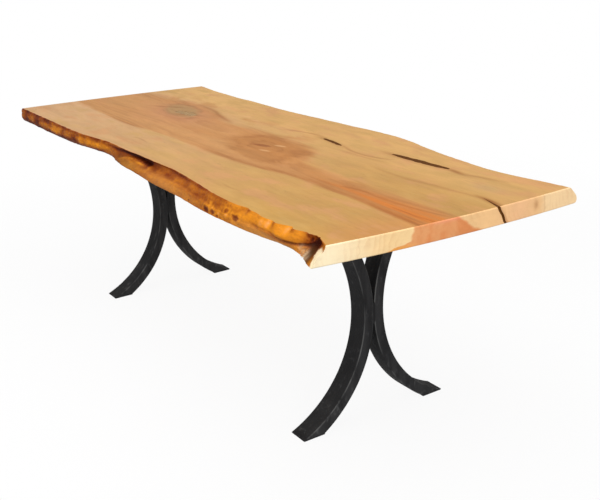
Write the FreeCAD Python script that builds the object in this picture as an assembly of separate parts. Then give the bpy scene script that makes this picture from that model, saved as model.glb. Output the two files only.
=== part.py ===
import FreeCAD, Part
import math
import os

# Live edge dining table: one thick slab on two pedestals of bent steel tube.
# Millimetres. The origin is on the floor midway between the pedestals, +X runs along the slab,
# +Y points to the back long edge and +Z points up. Left is -X and front is -Y.

# The whole table
TABLE_HEIGHT = 755.0
SLAB_LENGTH = 2300.0
SLAB_WIDTH = 890.0
SLAB_THICKNESS = 53.0
PEDESTAL_SPACING = 1448.0

# Slab ends, which are sawn a little off square and a little bowed
LEFT_END_BOW = 18.0
RIGHT_END_BOW = 27.0
END_EASING = 2.5

# Natural checks and the open knot, all filled with resin
LONG_CHECK_WIDTH = 14.0
LONG_CHECK_DEPTH = 26.0
SHORT_CHECK_WIDTH = 10.0
SHORT_CHECK_DEPTH = 20.0
END_CHECK_WIDTH = 11.0
KNOT_WIDTH = 44.0
KNOT_DEPTH = 12.0

# Legs, bent from rectangular tube with the wide side along the slab
TUBE_WIDTH = 74.0
TUBE_DEPTH = 36.0
TUBE_WALL = 3.0
TUBE_INNER_RADIUS = 3.0
FOOT_SPREAD = 560.0
TOP_SPREAD = 410.0
WAIST_GAP = 1.0

# Feet
FOOT_PLATE_THICKNESS = 4.0
PAD_THICKNESS = 3.0
PAD_INSET = 4.0

# Welds
WAIST_WELD_HEIGHT = 64.0
WAIST_WELD_DEPTH = 6.0
TOP_WELD_LEG = 5.0
TOP_WELD_TOE = 0.5

# Mounting plates and their fasteners
PLATE_OVERHANG = 60.0
PLATE_SIDE_MARGIN = 40.0
PLATE_THICKNESS = 8.0
PLATE_CORNER_RADIUS = 12.0
PLATE_EDGE_DISTANCE = 27.0
BOLT_DIAMETER = 8.0
BOLT_LENGTH = 30.0
BOLT_POINT = 1.0
HEAD_ACROSS_FLATS = 13.0
HEAD_HEIGHT = 5.3
HEAD_SIDES = 6
HOLE_CLEARANCE = 0.5
SLOT_TRAVEL = 14.0
WASHER_DIAMETER = 24.0
WASHER_THICKNESS = 2.0
INSERT_DIAMETER = 12.0
INSERT_LENGTH = 20.0
INSERT_HOLE_SPARE = 4.0
THREAD_CLEARANCE = 0.1

# How far a cutting shape runs past what it cuts
OVERRUN = 6.0

# Depth of each level of the live edges below the top face, as a share of the slab's thickness
LEVEL_SHARES = (0.0, 0.32, 0.74, 1.0)

# Live edges. The first number of a row is the place along the slab, as a share of half its length.
# The rest say how far out the edge stands at each level, as shares of half the slab's width.
FRONT_EDGE_SHARES = (
    (-1.08, 0.922, 0.934, 0.932, 0.916),
    (-0.82, 0.918, 0.931, 0.929, 0.911),
    (-0.64, 0.913, 0.927, 0.924, 0.906),
    (-0.49, 0.906, 0.917, 0.911, 0.884),
    (-0.37, 0.876, 0.886, 0.879, 0.838),
    (-0.26, 0.840, 0.846, 0.845, 0.828),
    (-0.17, 0.843, 0.838, 0.862, 0.874),
    (-0.05, 0.834, 0.822, 0.872, 0.895),
    (0.05, 0.830, 0.818, 0.892, 0.914),
    (0.16, 0.822, 0.841, 0.909, 0.926),
    (0.29, 0.845, 0.878, 0.917, 0.929),
    (0.42, 0.880, 0.914, 0.942, 0.950),
    (0.54, 0.898, 0.929, 0.948, 0.947),
    (0.64, 0.886, 0.922, 0.941, 0.937),
    (0.74, 0.900, 0.926, 0.927, 0.910),
    (0.83, 0.878, 0.906, 0.909, 0.893),
    (0.89, 0.861, 0.860, 0.884, 0.934),
    (0.93, 0.872, 0.872, 0.924, 0.974),
    (0.96, 0.893, 0.910, 0.960, 0.992),
    (1.06, 0.930, 0.950, 0.985, 1.000),
)
BACK_EDGE_SHARES = (
    (-1.08, 0.944, 0.955, 0.972, 0.966),
    (-0.92, 0.910, 0.920, 0.942, 0.938),
    (-0.79, 0.888, 0.900, 0.924, 0.920),
    (-0.66, 0.884, 0.899, 0.924, 0.921),
    (-0.47, 0.898, 0.911, 0.938, 0.933),
    (-0.31, 0.900, 0.916, 0.939, 0.935),
    (-0.16, 0.931, 0.946, 0.969, 0.960),
    (0.01, 0.966, 0.981, 1.003, 0.997),
    (0.17, 1.000, 1.010, 1.026, 1.018),
    (0.27, 1.010, 1.018, 1.028, 1.016),
    (0.36, 0.986, 1.000, 1.016, 1.008),
    (0.47, 0.935, 0.954, 0.982, 0.980),
    (0.62, 0.891, 0.915, 0.947, 0.951),
    (0.77, 0.877, 0.902, 0.939, 0.943),
    (0.89, 0.918, 0.940, 0.970, 0.966),
    (0.99, 0.955, 0.995, 1.028, 1.010),
    (1.06, 0.968, 1.004, 1.033, 1.014),
)

# Front and back ends of each saw cut as shares of half the slab's length, and how far out they lie
# as a share of half its width, which is past the live edges
LEFT_END_SHARES = (-1.0, -0.947)
RIGHT_END_SHARES = (0.951, 0.988)
SAW_REACH_SHARE = 1.1

# Both ends of each check, as shares of half the slab's length and of half its width
LONG_CHECK_SHARES = ((0.437, 0.611), (0.663, 0.660))
SHORT_CHECK_SHARES = ((0.146, 0.530), (0.250, 0.502))
KNOT_SHARES = ((-0.565, 0.135), (-0.450, 0.170))

# The end check runs from its tip to the right end. It leans, so it has a top and a bottom course.
END_CHECK_TOP_SHARES = ((0.925, 0.368), (1.04, 0.253))
END_CHECK_BOTTOM_SHARES = ((0.950, 0.428), (1.04, 0.326))

# Height of the waist, where the two legs of a pedestal meet, as a share of the table's height
WAIST_SHARE = 0.469

# Rows of plate fasteners: across the plate and along it, as shares of their outermost places
BOLT_ROW_SHARES = (-1.0, 1.0)
BOLT_COLUMN_SHARES = (-1.0, 0.0, 1.0)

HALF_LENGTH = SLAB_LENGTH / 2
HALF_WIDTH = SLAB_WIDTH / 2
SLAB_UNDERSIDE = TABLE_HEIGHT - SLAB_THICKNESS
LEG_TOP = SLAB_UNDERSIDE - PLATE_THICKNESS
LEG_BOTTOM = PAD_THICKNESS + FOOT_PLATE_THICKNESS
WAIST_HEIGHT = WAIST_SHARE * TABLE_HEIGHT
PLATE_LENGTH = TOP_SPREAD + 2 * PLATE_OVERHANG
PLATE_WIDTH = TUBE_WIDTH + 2 * PLATE_SIDE_MARGIN
BOLT_SEAT = LEG_TOP - WASHER_THICKNESS
BOLT_ROW_OFFSET = PLATE_WIDTH / 2 - PLATE_EDGE_DISTANCE
BOLT_COLUMN_OFFSET = PLATE_LENGTH / 2 - PLATE_EDGE_DISTANCE
PEDESTALS = (("left", -PEDESTAL_SPACING / 2), ("right", PEDESTAL_SPACING / 2))
LEG_SIDES = (("front", -1), ("back", 1))
ALONG = FreeCAD.Vector(1, 0, 0)
UP = FreeCAD.Vector(0, 0, 1)


def point(x, y, z):
    return FreeCAD.Vector(x, y, z)


def box(low, high):
    """Box between two opposite corners."""
    size = high - low
    return Part.makeBox(size.x, size.y, size.z, low)


def rounded_rectangle(centre, half_x, half_y, radius):
    """Level outline with rounded corners."""
    flat_x = half_x - radius
    flat_y = half_y - radius
    bulge = radius * math.cos(math.pi / 4)
    curves = []
    for side in (-1, 1):
        curves.append(Part.LineSegment(point(side * half_x, -flat_y, 0), point(side * half_x, flat_y, 0)))
        curves.append(Part.LineSegment(point(-flat_x, side * half_y, 0), point(flat_x, side * half_y, 0)))
    for x_side in (-1, 1):
        for y_side in (-1, 1):
            start = point(x_side * half_x, y_side * flat_y, 0)
            middle = point(x_side * (flat_x + bulge), y_side * (flat_y + bulge), 0)
            end = point(x_side * flat_x, y_side * half_y, 0)
            curves.append(Part.Arc(start, middle, end))
    outline = Part.Wire(Part.__sortEdges__([curve.toShape() for curve in curves]))
    outline.translate(centre)
    return outline


def slab_point(shares, z):
    """Point on the slab from its shares of the half length and half width."""
    along, across = shares
    return point(along * HALF_LENGTH, across * HALF_WIDTH, z)


def live_edge(rows, side, level, z):
    """Curve of one live edge at one level, left to right."""
    points = [slab_point((row[0], side * row[1 + level]), z) for row in rows]
    places = [row[0] for row in rows]
    curve = Part.BSplineCurve()
    curve.interpolate(Points=points, Parameters=places)
    return curve


def slab_section(level):
    """Closed outline of the slab at one level, before its ends are sawn."""
    z = TABLE_HEIGHT - LEVEL_SHARES[level] * SLAB_THICKNESS
    front = live_edge(FRONT_EDGE_SHARES, -1, level, z)
    back = live_edge(BACK_EDGE_SHARES, 1, level, z)
    right_end = Part.LineSegment(front.EndPoint, back.EndPoint)
    left_end = Part.LineSegment(back.StartPoint, front.StartPoint)
    back.reverse()
    return Part.Wire([curve.toShape() for curve in (front, right_end, back, left_end)])


def saw_cut(shares, bow):
    """Bowed saw cut across one end, front to back. The bow is positive towards +X."""
    front = slab_point((shares[0], -SAW_REACH_SHARE), SLAB_UNDERSIDE)
    back = slab_point((shares[1], SAW_REACH_SHARE), SLAB_UNDERSIDE)
    middle = (front + back) / 2 + point(bow, 0, 0)
    return Part.Arc(front, middle, back)


def sawn_block():
    """Upright block between the two saw cuts, wider than the slab and eased along the ends."""
    left = saw_cut(LEFT_END_SHARES, -LEFT_END_BOW)
    right = saw_cut(RIGHT_END_SHARES, RIGHT_END_BOW)
    front = Part.LineSegment(left.StartPoint, right.StartPoint)
    back = Part.LineSegment(left.EndPoint, right.EndPoint)
    edges = [curve.toShape() for curve in (left, front, right, back)]
    outline = Part.Wire(Part.__sortEdges__(edges))
    block = Part.Face(outline).extrude(UP * SLAB_THICKNESS)
    arcs = [edge for edge in block.Edges if edge.Curve.TypeId == "Part::GeomCircle"]
    return block.makeChamfer(END_EASING, arcs)


def slab_blank():
    """Slab with its live edges and sawn ends, before any hole or check."""
    sections = [slab_section(level) for level in range(len(LEVEL_SHARES))]
    board = Part.makeLoft(list(reversed(sections)), True, False)
    return board.common(sawn_block()).Solids[0]


def leaf_outline(start, end, width):
    """Outline of a check: two arcs that meet in a point at both ends."""
    middle = (start + end) / 2
    across = UP.cross(end - start)
    across.normalize()
    reach = across * (width / 2)
    one_side = Part.Arc(start, middle + reach, end)
    other_side = Part.Arc(end, middle - reach, start)
    return Part.Wire([one_side.toShape(), other_side.toShape()])


def leaf_fill(shares, width, depth):
    """Resin in a check or knot that is open at the top face only."""
    start, end = [slab_point(place, TABLE_HEIGHT) for place in shares]
    return Part.Face(leaf_outline(start, end, width)).extrude(-UP * depth)


def wedge_outline(shares, z):
    """Outline of the end check at one face: a tip inside the slab, widening past the end."""
    tip, mouth = [slab_point(place, z) for place in shares]
    reach = point(0, END_CHECK_WIDTH / 2, 0)
    return Part.makePolygon([tip, mouth - reach, mouth + reach, tip])


def end_check_fill(blank):
    """Resin in the leaning check that runs out through the right end."""
    top = wedge_outline(END_CHECK_TOP_SHARES, TABLE_HEIGHT)
    bottom = wedge_outline(END_CHECK_BOTTOM_SHARES, SLAB_UNDERSIDE)
    wedge = Part.makeLoft([bottom, top], True, True)
    return blank.common(wedge).Solids[0]


def bolt_places(pedestal_x):
    """Centres of one plate's fasteners, with whether each has a slot to move in."""
    places = []
    for row in BOLT_ROW_SHARES:
        for column in BOLT_COLUMN_SHARES:
            place = point(pedestal_x + row * BOLT_ROW_OFFSET, column * BOLT_COLUMN_OFFSET, 0)
            places.append((place, column != 0))
    return places


def disc(radius, low, high, place):
    """Upright cylinder between two heights."""
    return Part.makeCylinder(radius, high - low, point(place.x, place.y, low))


def insert_holes(pedestal_x):
    """Blind holes in the underside of the slab for one plate's inserts."""
    top = max(SLAB_UNDERSIDE + INSERT_LENGTH, BOLT_SEAT + BOLT_LENGTH) + INSERT_HOLE_SPARE
    low = SLAB_UNDERSIDE - OVERRUN
    places = [place for place, slotted in bolt_places(pedestal_x)]
    return [disc(INSERT_DIAMETER / 2, low, top, place) for place in places]


def threaded_inserts(pedestal_x):
    """Brass sleeves in the slab, flush with its underside."""
    top = SLAB_UNDERSIDE + INSERT_LENGTH
    bore_radius = BOLT_DIAMETER / 2 + THREAD_CLEARANCE
    sleeves = []
    for place, slotted in bolt_places(pedestal_x):
        sleeve = disc(INSERT_DIAMETER / 2, SLAB_UNDERSIDE, top, place)
        bore = disc(bore_radius, SLAB_UNDERSIDE - OVERRUN, top + OVERRUN, place)
        sleeves.append(sleeve.cut(bore))
    return Part.Compound(sleeves)


def plate_washers(pedestal_x):
    """Wide washers under the plate."""
    hole_radius = BOLT_DIAMETER / 2 + HOLE_CLEARANCE
    washers = []
    for place, slotted in bolt_places(pedestal_x):
        ring = disc(WASHER_DIAMETER / 2, BOLT_SEAT, LEG_TOP, place)
        hole = disc(hole_radius, BOLT_SEAT - OVERRUN, LEG_TOP + OVERRUN, place)
        washers.append(ring.cut(hole))
    return Part.Compound(washers)


def hexagon_head(place, low, high):
    """Six-sided bolt head."""
    radius = HEAD_ACROSS_FLATS / 2 / math.cos(math.pi / HEAD_SIDES)
    angles = [2 * math.pi * corner / HEAD_SIDES for corner in range(HEAD_SIDES + 1)]
    centre = point(place.x, place.y, low)
    corners = [centre + point(radius * math.cos(a), radius * math.sin(a), 0) for a in angles]
    return Part.Face(Part.makePolygon(corners)).extrude(UP * (high - low))


def plate_bolts(pedestal_x):
    """Bolts that go up through the washers and the plate into the inserts."""
    radius = BOLT_DIAMETER / 2
    shank_top = BOLT_SEAT + BOLT_LENGTH - BOLT_POINT
    bolts = []
    for place, slotted in bolt_places(pedestal_x):
        head = hexagon_head(place, BOLT_SEAT - HEAD_HEIGHT, BOLT_SEAT)
        shank = disc(radius, BOLT_SEAT, shank_top, place)
        tip_base = point(place.x, place.y, shank_top)
        tip = Part.makeCone(radius, radius - BOLT_POINT, BOLT_POINT, tip_base)
        bolts.append(head.fuse([shank, tip]).removeSplitter().Solids[0])
    return Part.Compound(bolts)


def plate_hole(place, slotted):
    """Round hole, or a slot across the slab's grain so that the wood can move."""
    radius = BOLT_DIAMETER / 2 + HOLE_CLEARANCE
    low = LEG_TOP - OVERRUN
    high = SLAB_UNDERSIDE + OVERRUN
    if not slotted:
        return disc(radius, low, high, place)
    reach = point(0, SLOT_TRAVEL / 2, 0)
    ends = [disc(radius, low, high, place + offset) for offset in (reach, -reach)]
    corner = point(radius, SLOT_TRAVEL / 2, 0)
    foot = point(place.x, place.y, low)
    middle = box(foot - corner, point(place.x, place.y, high) + corner)
    return middle.fuse(ends)


def mounting_plate(pedestal_x):
    """Flat steel between the legs and the slab."""
    centre = point(pedestal_x, 0, LEG_TOP)
    outline = rounded_rectangle(centre, PLATE_WIDTH / 2, PLATE_LENGTH / 2, PLATE_CORNER_RADIUS)
    plate = Part.Face(outline).extrude(UP * PLATE_THICKNESS)
    return plate.cut([plate_hole(*place) for place in bolt_places(pedestal_x)])


def bend_radius(spread, rise):
    """Radius of the concave face that leaves the waist upright and reaches the spread at the rise."""
    reach = spread / 2 - TUBE_DEPTH - WAIST_GAP / 2
    return (reach ** 2 + rise ** 2) / (2 * reach)


def leg_face_y(z, depth):
    """Distance from the middle plane to a leg's face at a height. The depth is into the tube."""
    if z < WAIST_HEIGHT:
        radius = bend_radius(FOOT_SPREAD, WAIST_HEIGHT)
    else:
        radius = bend_radius(TOP_SPREAD, LEG_TOP - WAIST_HEIGHT)
    centre = radius + TUBE_DEPTH + WAIST_GAP / 2
    return centre - math.sqrt((radius + depth) ** 2 - (z - WAIST_HEIGHT) ** 2)


def tube_section(pedestal_x, side, skin):
    """Level section of a leg at the waist. The skin is how far it lies inside the tube's faces."""
    centre = point(pedestal_x, side * (WAIST_GAP + TUBE_DEPTH) / 2, WAIST_HEIGHT)
    radius = TUBE_INNER_RADIUS + TUBE_WALL - skin
    return Part.Face(rounded_rectangle(centre, TUBE_WIDTH / 2 - skin, TUBE_DEPTH / 2 - skin, radius))


def bent_bar(section, side):
    """A section at the waist bent a quarter turn down and a quarter turn up, past the leg's ends."""
    quarter_turn = math.degrees(math.pi / 2)
    lower = (FOOT_SPREAD, WAIST_HEIGHT, quarter_turn)
    upper = (TOP_SPREAD, LEG_TOP - WAIST_HEIGHT, -quarter_turn)
    halves = []
    for spread, rise, turn in (lower, upper):
        axis_y = bend_radius(spread, rise) + TUBE_DEPTH + WAIST_GAP / 2
        axis = point(0, side * axis_y, WAIST_HEIGHT)
        halves.append(section.revolve(axis, ALONG, side * turn))
    return halves[0].fuse(halves[1])


def solid_bar(pedestal_x, side):
    """Bent bar with the outside of a leg."""
    return bent_bar(tube_section(pedestal_x, side, 0), side)


def level_slice(shape, low_z, high_z):
    """The part of a shape between two heights."""
    bounds = shape.BoundBox
    low = point(bounds.XMin - OVERRUN, bounds.YMin - OVERRUN, low_z)
    high = point(bounds.XMax + OVERRUN, bounds.YMax + OVERRUN, high_z)
    return shape.common(box(low, high)).Solids[0]


def leg(pedestal_x, side):
    """Hollow bent tube from the foot plate to the mounting plate."""
    inside = tube_section(pedestal_x, side, TUBE_WALL)
    wall = tube_section(pedestal_x, side, 0).cut(inside).Faces[0]
    return level_slice(bent_bar(wall, side), LEG_BOTTOM, LEG_TOP)


def foot_plate(pedestal_x, side):
    """Plate that closes the lower end of a leg, ground flush with its faces."""
    return level_slice(solid_bar(pedestal_x, side), PAD_THICKNESS, LEG_BOTTOM)


def floor_pad(pedestal_x, side):
    """Rubber pad a little inside the outline of the foot plate."""
    toe = leg_face_y(PAD_THICKNESS, 0) - PAD_INSET
    heel = leg_face_y(PAD_THICKNESS, TUBE_DEPTH) + PAD_INSET
    half_width = TUBE_WIDTH / 2 - PAD_INSET
    low_y, high_y = sorted((side * toe, side * heel))
    low = point(pedestal_x - half_width, low_y, 0)
    return box(low, point(pedestal_x + half_width, high_y, PAD_THICKNESS))


def waist_weld(pedestal_x):
    """Weld in the narrow gap between two legs, flush with both sides of the tubes."""
    half_height = WAIST_WELD_HEIGHT / 2
    low_z, high_z = WAIST_HEIGHT - half_height, WAIST_HEIGHT + half_height
    legs = [solid_bar(pedestal_x, side) for name, side in LEG_SIDES]
    beads = []
    for start in (-TUBE_WIDTH / 2, TUBE_WIDTH / 2 - WAIST_WELD_DEPTH):
        low = point(pedestal_x + start, -TUBE_DEPTH / 2, low_z)
        high = point(pedestal_x + start + WAIST_WELD_DEPTH, TUBE_DEPTH / 2, high_z)
        beads.append(box(low, high).cut(legs).Solids[0])
    return Part.Compound(beads)


def leg_rectangle(pedestal_x, side, z, margin):
    """Level outline around a leg at one height, with a margin all round."""
    near, far = [side * leg_face_y(z, depth) for depth in (TUBE_DEPTH, 0)]
    low_y, high_y = min(near, far) - margin, max(near, far) + margin
    half = TUBE_WIDTH / 2 + margin
    low_x, high_x = pedestal_x - half, pedestal_x + half
    corners = [(low_x, low_y), (high_x, low_y), (high_x, high_y), (low_x, high_y), (low_x, low_y)]
    return Part.makePolygon([point(x, y, z) for x, y in corners])


def top_welds(pedestal_x):
    """Fillet welds all round both legs where they meet the mounting plate."""
    beads = []
    for name, side in LEG_SIDES:
        toe = leg_rectangle(pedestal_x, side, LEG_TOP - TOP_WELD_LEG, TOP_WELD_TOE)
        root = leg_rectangle(pedestal_x, side, LEG_TOP, TOP_WELD_LEG)
        collar = Part.makeLoft([toe, root], True, True)
        beads.append(collar.cut(solid_bar(pedestal_x, side)).Solids[0])
    return Part.Compound(beads)


def slab_and_fills():
    """The slab with its holes, and each resin fill that sits in it."""
    blank = slab_blank()
    fills = {
        "long_check_fill": leaf_fill(LONG_CHECK_SHARES, LONG_CHECK_WIDTH, LONG_CHECK_DEPTH),
        "short_check_fill": leaf_fill(SHORT_CHECK_SHARES, SHORT_CHECK_WIDTH, SHORT_CHECK_DEPTH),
        "knot_fill": leaf_fill(KNOT_SHARES, KNOT_WIDTH, KNOT_DEPTH),
        "end_check_fill": end_check_fill(blank),
    }
    cutters = list(fills.values())
    for name, pedestal_x in PEDESTALS:
        cutters += insert_holes(pedestal_x)
    return {"slab": blank.cut(cutters), **fills}


def pedestal(name, pedestal_x):
    """Every piece of one pedestal, with the fasteners that hold it to the slab."""
    nodes = {
        f"{name}_mounting_plate": mounting_plate(pedestal_x),
        f"{name}_plate_bolts": plate_bolts(pedestal_x),
        f"{name}_plate_washers": plate_washers(pedestal_x),
        f"{name}_threaded_inserts": threaded_inserts(pedestal_x),
        f"{name}_waist_weld": waist_weld(pedestal_x),
        f"{name}_top_welds": top_welds(pedestal_x),
    }
    for side_name, side in LEG_SIDES:
        nodes[f"{name}_{side_name}_leg"] = leg(pedestal_x, side)
        nodes[f"{name}_{side_name}_foot_plate"] = foot_plate(pedestal_x, side)
        nodes[f"{name}_{side_name}_floor_pad"] = floor_pad(pedestal_x, side)
    return nodes


def main():
    nodes = slab_and_fills()
    for name, pedestal_x in PEDESTALS:
        nodes.update(pedestal(name, pedestal_x))
    os.makedirs("parts", exist_ok=True)
    for name, shape in nodes.items():
        shape.exportStep(os.path.join("parts", f"{name}.step"))
        print(f"{name}: {len(shape.Solids)} solids, {shape.Volume:.0f} mm3, valid {shape.isValid()}")


main()
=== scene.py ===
import math

import bmesh
import bpy
import numpy as np
from mathutils import Matrix, Vector
from mathutils.geometry import delaunay_2d_cdt


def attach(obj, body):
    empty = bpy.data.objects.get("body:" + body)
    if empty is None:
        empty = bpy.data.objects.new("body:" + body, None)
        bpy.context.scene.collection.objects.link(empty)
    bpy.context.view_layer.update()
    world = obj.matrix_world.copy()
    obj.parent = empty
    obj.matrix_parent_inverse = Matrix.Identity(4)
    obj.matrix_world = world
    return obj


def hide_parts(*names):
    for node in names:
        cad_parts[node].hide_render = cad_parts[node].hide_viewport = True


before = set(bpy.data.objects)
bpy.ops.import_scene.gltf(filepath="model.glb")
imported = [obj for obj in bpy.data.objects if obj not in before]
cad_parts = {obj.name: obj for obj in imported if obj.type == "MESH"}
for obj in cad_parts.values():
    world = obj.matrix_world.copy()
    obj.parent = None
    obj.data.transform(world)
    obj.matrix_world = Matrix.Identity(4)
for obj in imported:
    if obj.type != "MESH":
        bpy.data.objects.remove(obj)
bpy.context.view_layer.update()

# Live edge dining table. Metres, with the frame of the solids: the origin is on the floor midway between
# the pedestals, +X runs along the slab, +Y points to the back long edge and +Z points up.

# The slab, as in the solid model save for LEFT_CUT and ARRIS
TOP = 0.755
THICKNESS = 0.053
UNDERSIDE = TOP - THICKNESS
HALF_LENGTH = 1.150
HALF_WIDTH = 0.445
END_EASING = 0.0025
ARRIS = 0.0022
# Live edges: place along x and reach at four depths, as shares of the half length and the half width
LEVEL_SHARES = (0.0, 0.32, 0.74, 1.0)
FRONT_EDGE_SHARES = (
    (-1.08, 0.922, 0.934, 0.932, 0.916), (-0.82, 0.918, 0.931, 0.929, 0.911),
    (-0.64, 0.913, 0.927, 0.924, 0.906), (-0.49, 0.906, 0.917, 0.911, 0.884),
    (-0.37, 0.876, 0.886, 0.879, 0.838), (-0.26, 0.840, 0.846, 0.845, 0.828),
    (-0.17, 0.843, 0.838, 0.862, 0.874), (-0.05, 0.834, 0.822, 0.872, 0.895),
    (0.05, 0.830, 0.818, 0.892, 0.914), (0.16, 0.822, 0.841, 0.909, 0.926),
    (0.29, 0.845, 0.878, 0.917, 0.929), (0.42, 0.880, 0.914, 0.942, 0.950),
    (0.54, 0.898, 0.929, 0.948, 0.947), (0.64, 0.886, 0.922, 0.941, 0.937),
    (0.74, 0.900, 0.926, 0.927, 0.910), (0.83, 0.878, 0.906, 0.909, 0.893),
    (0.89, 0.861, 0.860, 0.884, 0.934), (0.93, 0.872, 0.872, 0.924, 0.974),
    (0.96, 0.893, 0.910, 0.960, 0.992), (1.06, 0.930, 0.950, 0.985, 1.000),
)
BACK_EDGE_SHARES = (
    (-1.08, 0.944, 0.955, 0.972, 0.966), (-0.92, 0.910, 0.920, 0.942, 0.938),
    (-0.79, 0.888, 0.900, 0.924, 0.920), (-0.66, 0.884, 0.899, 0.924, 0.921),
    (-0.47, 0.898, 0.911, 0.938, 0.933), (-0.31, 0.900, 0.916, 0.939, 0.935),
    (-0.16, 0.931, 0.946, 0.969, 0.960), (0.01, 0.966, 0.981, 1.003, 0.997),
    (0.17, 1.000, 1.010, 1.026, 1.018), (0.27, 1.010, 1.018, 1.028, 1.016),
    (0.36, 0.986, 1.000, 1.016, 1.008), (0.47, 0.935, 0.954, 0.982, 0.980),
    (0.62, 0.891, 0.915, 0.947, 0.951), (0.77, 0.877, 0.902, 0.939, 0.943),
    (0.89, 0.918, 0.940, 0.970, 0.966), (0.99, 0.955, 0.995, 1.028, 1.010),
    (1.06, 0.968, 1.004, 1.033, 1.014),
)
# Saw cuts: front and back end as shares of the half length, and the bow
LEFT_CUT = (-1.008, -0.948, -0.018)
RIGHT_CUT = (0.951, 0.988, 0.027)
SAW_REACH_SHARE = 1.1

# Checks and the open knot: course on the top face, widest half width, depth and seed of the outline
FILLS = {
    "long_check_fill": (
        ((0.498, 0.280), (0.588, 0.285), (0.681, 0.289), (0.763, 0.297)), 0.0125, 0.026, 111),
    "short_check_fill": (((0.161, 0.238), (0.225, 0.231), (0.288, 0.223)), 0.0082, 0.020, 121),
    "knot_fill": (((-0.650, 0.060), (-0.600, 0.071), (-0.517, 0.076)), 0.0225, 0.012, 131),
}
# The end check, from its tip to past the right end, at the top and at the bottom
END_CHECK_TOP = ((1.056, 0.1645), (1.196, 0.1260))
END_CHECK_BOTTOM = ((1.0925, 0.1905), (1.196, 0.1451))
END_CHECK_WIDTH = 0.016
FILL_RECESS = 0.0004
FILL_END_RECESS = END_EASING * 0.6

# Legs and fittings, as in the solid model save for TUBE_CORNER, SHANK_LENGTH, PAD_INSET, PAD_CORNER,
# FOOT_SEAM, the easings and the surface of the welds
PEDESTALS = {"left": -0.724, "right": 0.724}
LEG_SIDES = {"front": -1, "back": 1}
TUBE_WIDTH = 0.074
TUBE_DEPTH = 0.036
TUBE_CORNER = 0.004
FOOT_SPREAD = 0.560
TOP_SPREAD = 0.410
WAIST_HEIGHT = 0.469 * TOP
WAIST_GAP = 0.001
PAD_THICKNESS = 0.003
PAD_INSET = 0.0005
PAD_CORNER = 0.003
PAD_EASING = 0.0005
LEG_BOTTOM = 0.007
FOOT_SEAM = 0.0001
PLATE_THICKNESS = 0.008
LEG_TOP = UNDERSIDE - PLATE_THICKNESS
PLATE_LENGTH = 0.530
PLATE_WIDTH = 0.154
PLATE_CORNER = 0.012
PLATE_EASING = 0.0008
BOLT_ROW = 0.050
BOLT_COLUMN = 0.238
BOLT_RADIUS = 0.004
SHANK_LENGTH = 0.029
HEAD_RADIUS = 0.0075
HEAD_HEIGHT = 0.0053
HOLE_RADIUS = 0.0045
SLOT_TRAVEL = 0.014
WASHER_RADIUS = 0.012
WASHER_THICKNESS = 0.002
WASHER_EASING = 0.0003
INSERT_RADIUS = 0.006
INSERT_HOLE_DEPTH = 0.024
TOP_WELD_SIZE = 0.005
TOP_WELD_BITE = 0.001
TOP_WELD_SEED = 200
WAIST_WELD_REACH = 0.032
WAIST_WELD_HALF_WIDTH = 0.0045
WAIST_WELD_DEPTH = 0.006
WAIST_WELD_CROWN = 0.0008
WAIST_WELD_EDGE_SINK = 0.0006
WAIST_WELD_END_SINK = 0.0012
WAIST_WELD_SEED = 210
# Ripples of the welds: pitch, height and how uneven they are
TOP_WELD_RIPPLE = (0.0032, 0.00045, 0.00012)
WAIST_WELD_RIPPLE = (0.0034, 0.0004, 0.0001)

# Fineness of the meshes: points along lines and round corners and holes, and passes that settle a shape
FRONT_STATIONS = 900
BACK_STATIONS = 620
RIGHT_END_FRONT_POINTS = 130
RIGHT_END_BACK_POINTS = 70
LEFT_END_POINTS = 160
SIDE_LEVELS = 28
END_CHECK_WALL_POINTS = 10
END_FILL_LEVELS = 24
CHECK_POINTS = 36
TUBE_CORNER_POINTS = 7
PLATE_CORNER_POINTS = 9
PAD_CORNER_POINTS = 6
LOWER_BEND_POINTS = 70
UPPER_BEND_POINTS = 60
SOLE_LEVELS = 5
TOP_WELD_POINTS = 420
TOP_WELD_PROFILE_POINTS = 7
WAIST_WELD_LEVELS = 90
WAIST_WELD_PROFILE_POINTS = 11
SLOT_POINTS = 28
INSERT_HOLE_POINTS = 24
WASHER_POINTS = 40
BOLT_POINTS = 36
EDGE_PASSES = 8
LIP_PASSES = 5
CAP_PITCH = 0.03
SHARP_ANGLE = math.radians(38)
NOISE_CELLS = 4096

# Camera of the photograph, with its shift in pixels of a picture 600 wide
CAMERA_PLACE = (2.94733, -1.62199, 1.53544)
CAMERA_YAW, CAMERA_PITCH, CAMERA_ROLL = (math.radians(angle) for angle in (144.87, 19.151, 1.5))
CAMERA_LENS = 57.978
CAMERA_SENSOR = 36.0
CAMERA_SHIFT = (-50 / 600, -10 / 600)

# Stage
FLOOR_REACH = 30.0
WORLD_LIGHT = 0.40
WORLD_SEEN = 1.0
# Lamps: place, target, size and power
LAMPS = {
    "top_light": ((0.4, -0.4, 3.6), (0, 0, 0.6), (5.0, 4.0), 110),
    "key_light": ((7.0, -2.6, 1.7), (1.0, -0.1, 0.7), (2.5, 2.5), 240),
    "front_light": ((-0.3, -4.6, 1.7), (-0.2, -0.3, 0.7), (4.0, 1.6), 46),
}


# Numbers on grids

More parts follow.
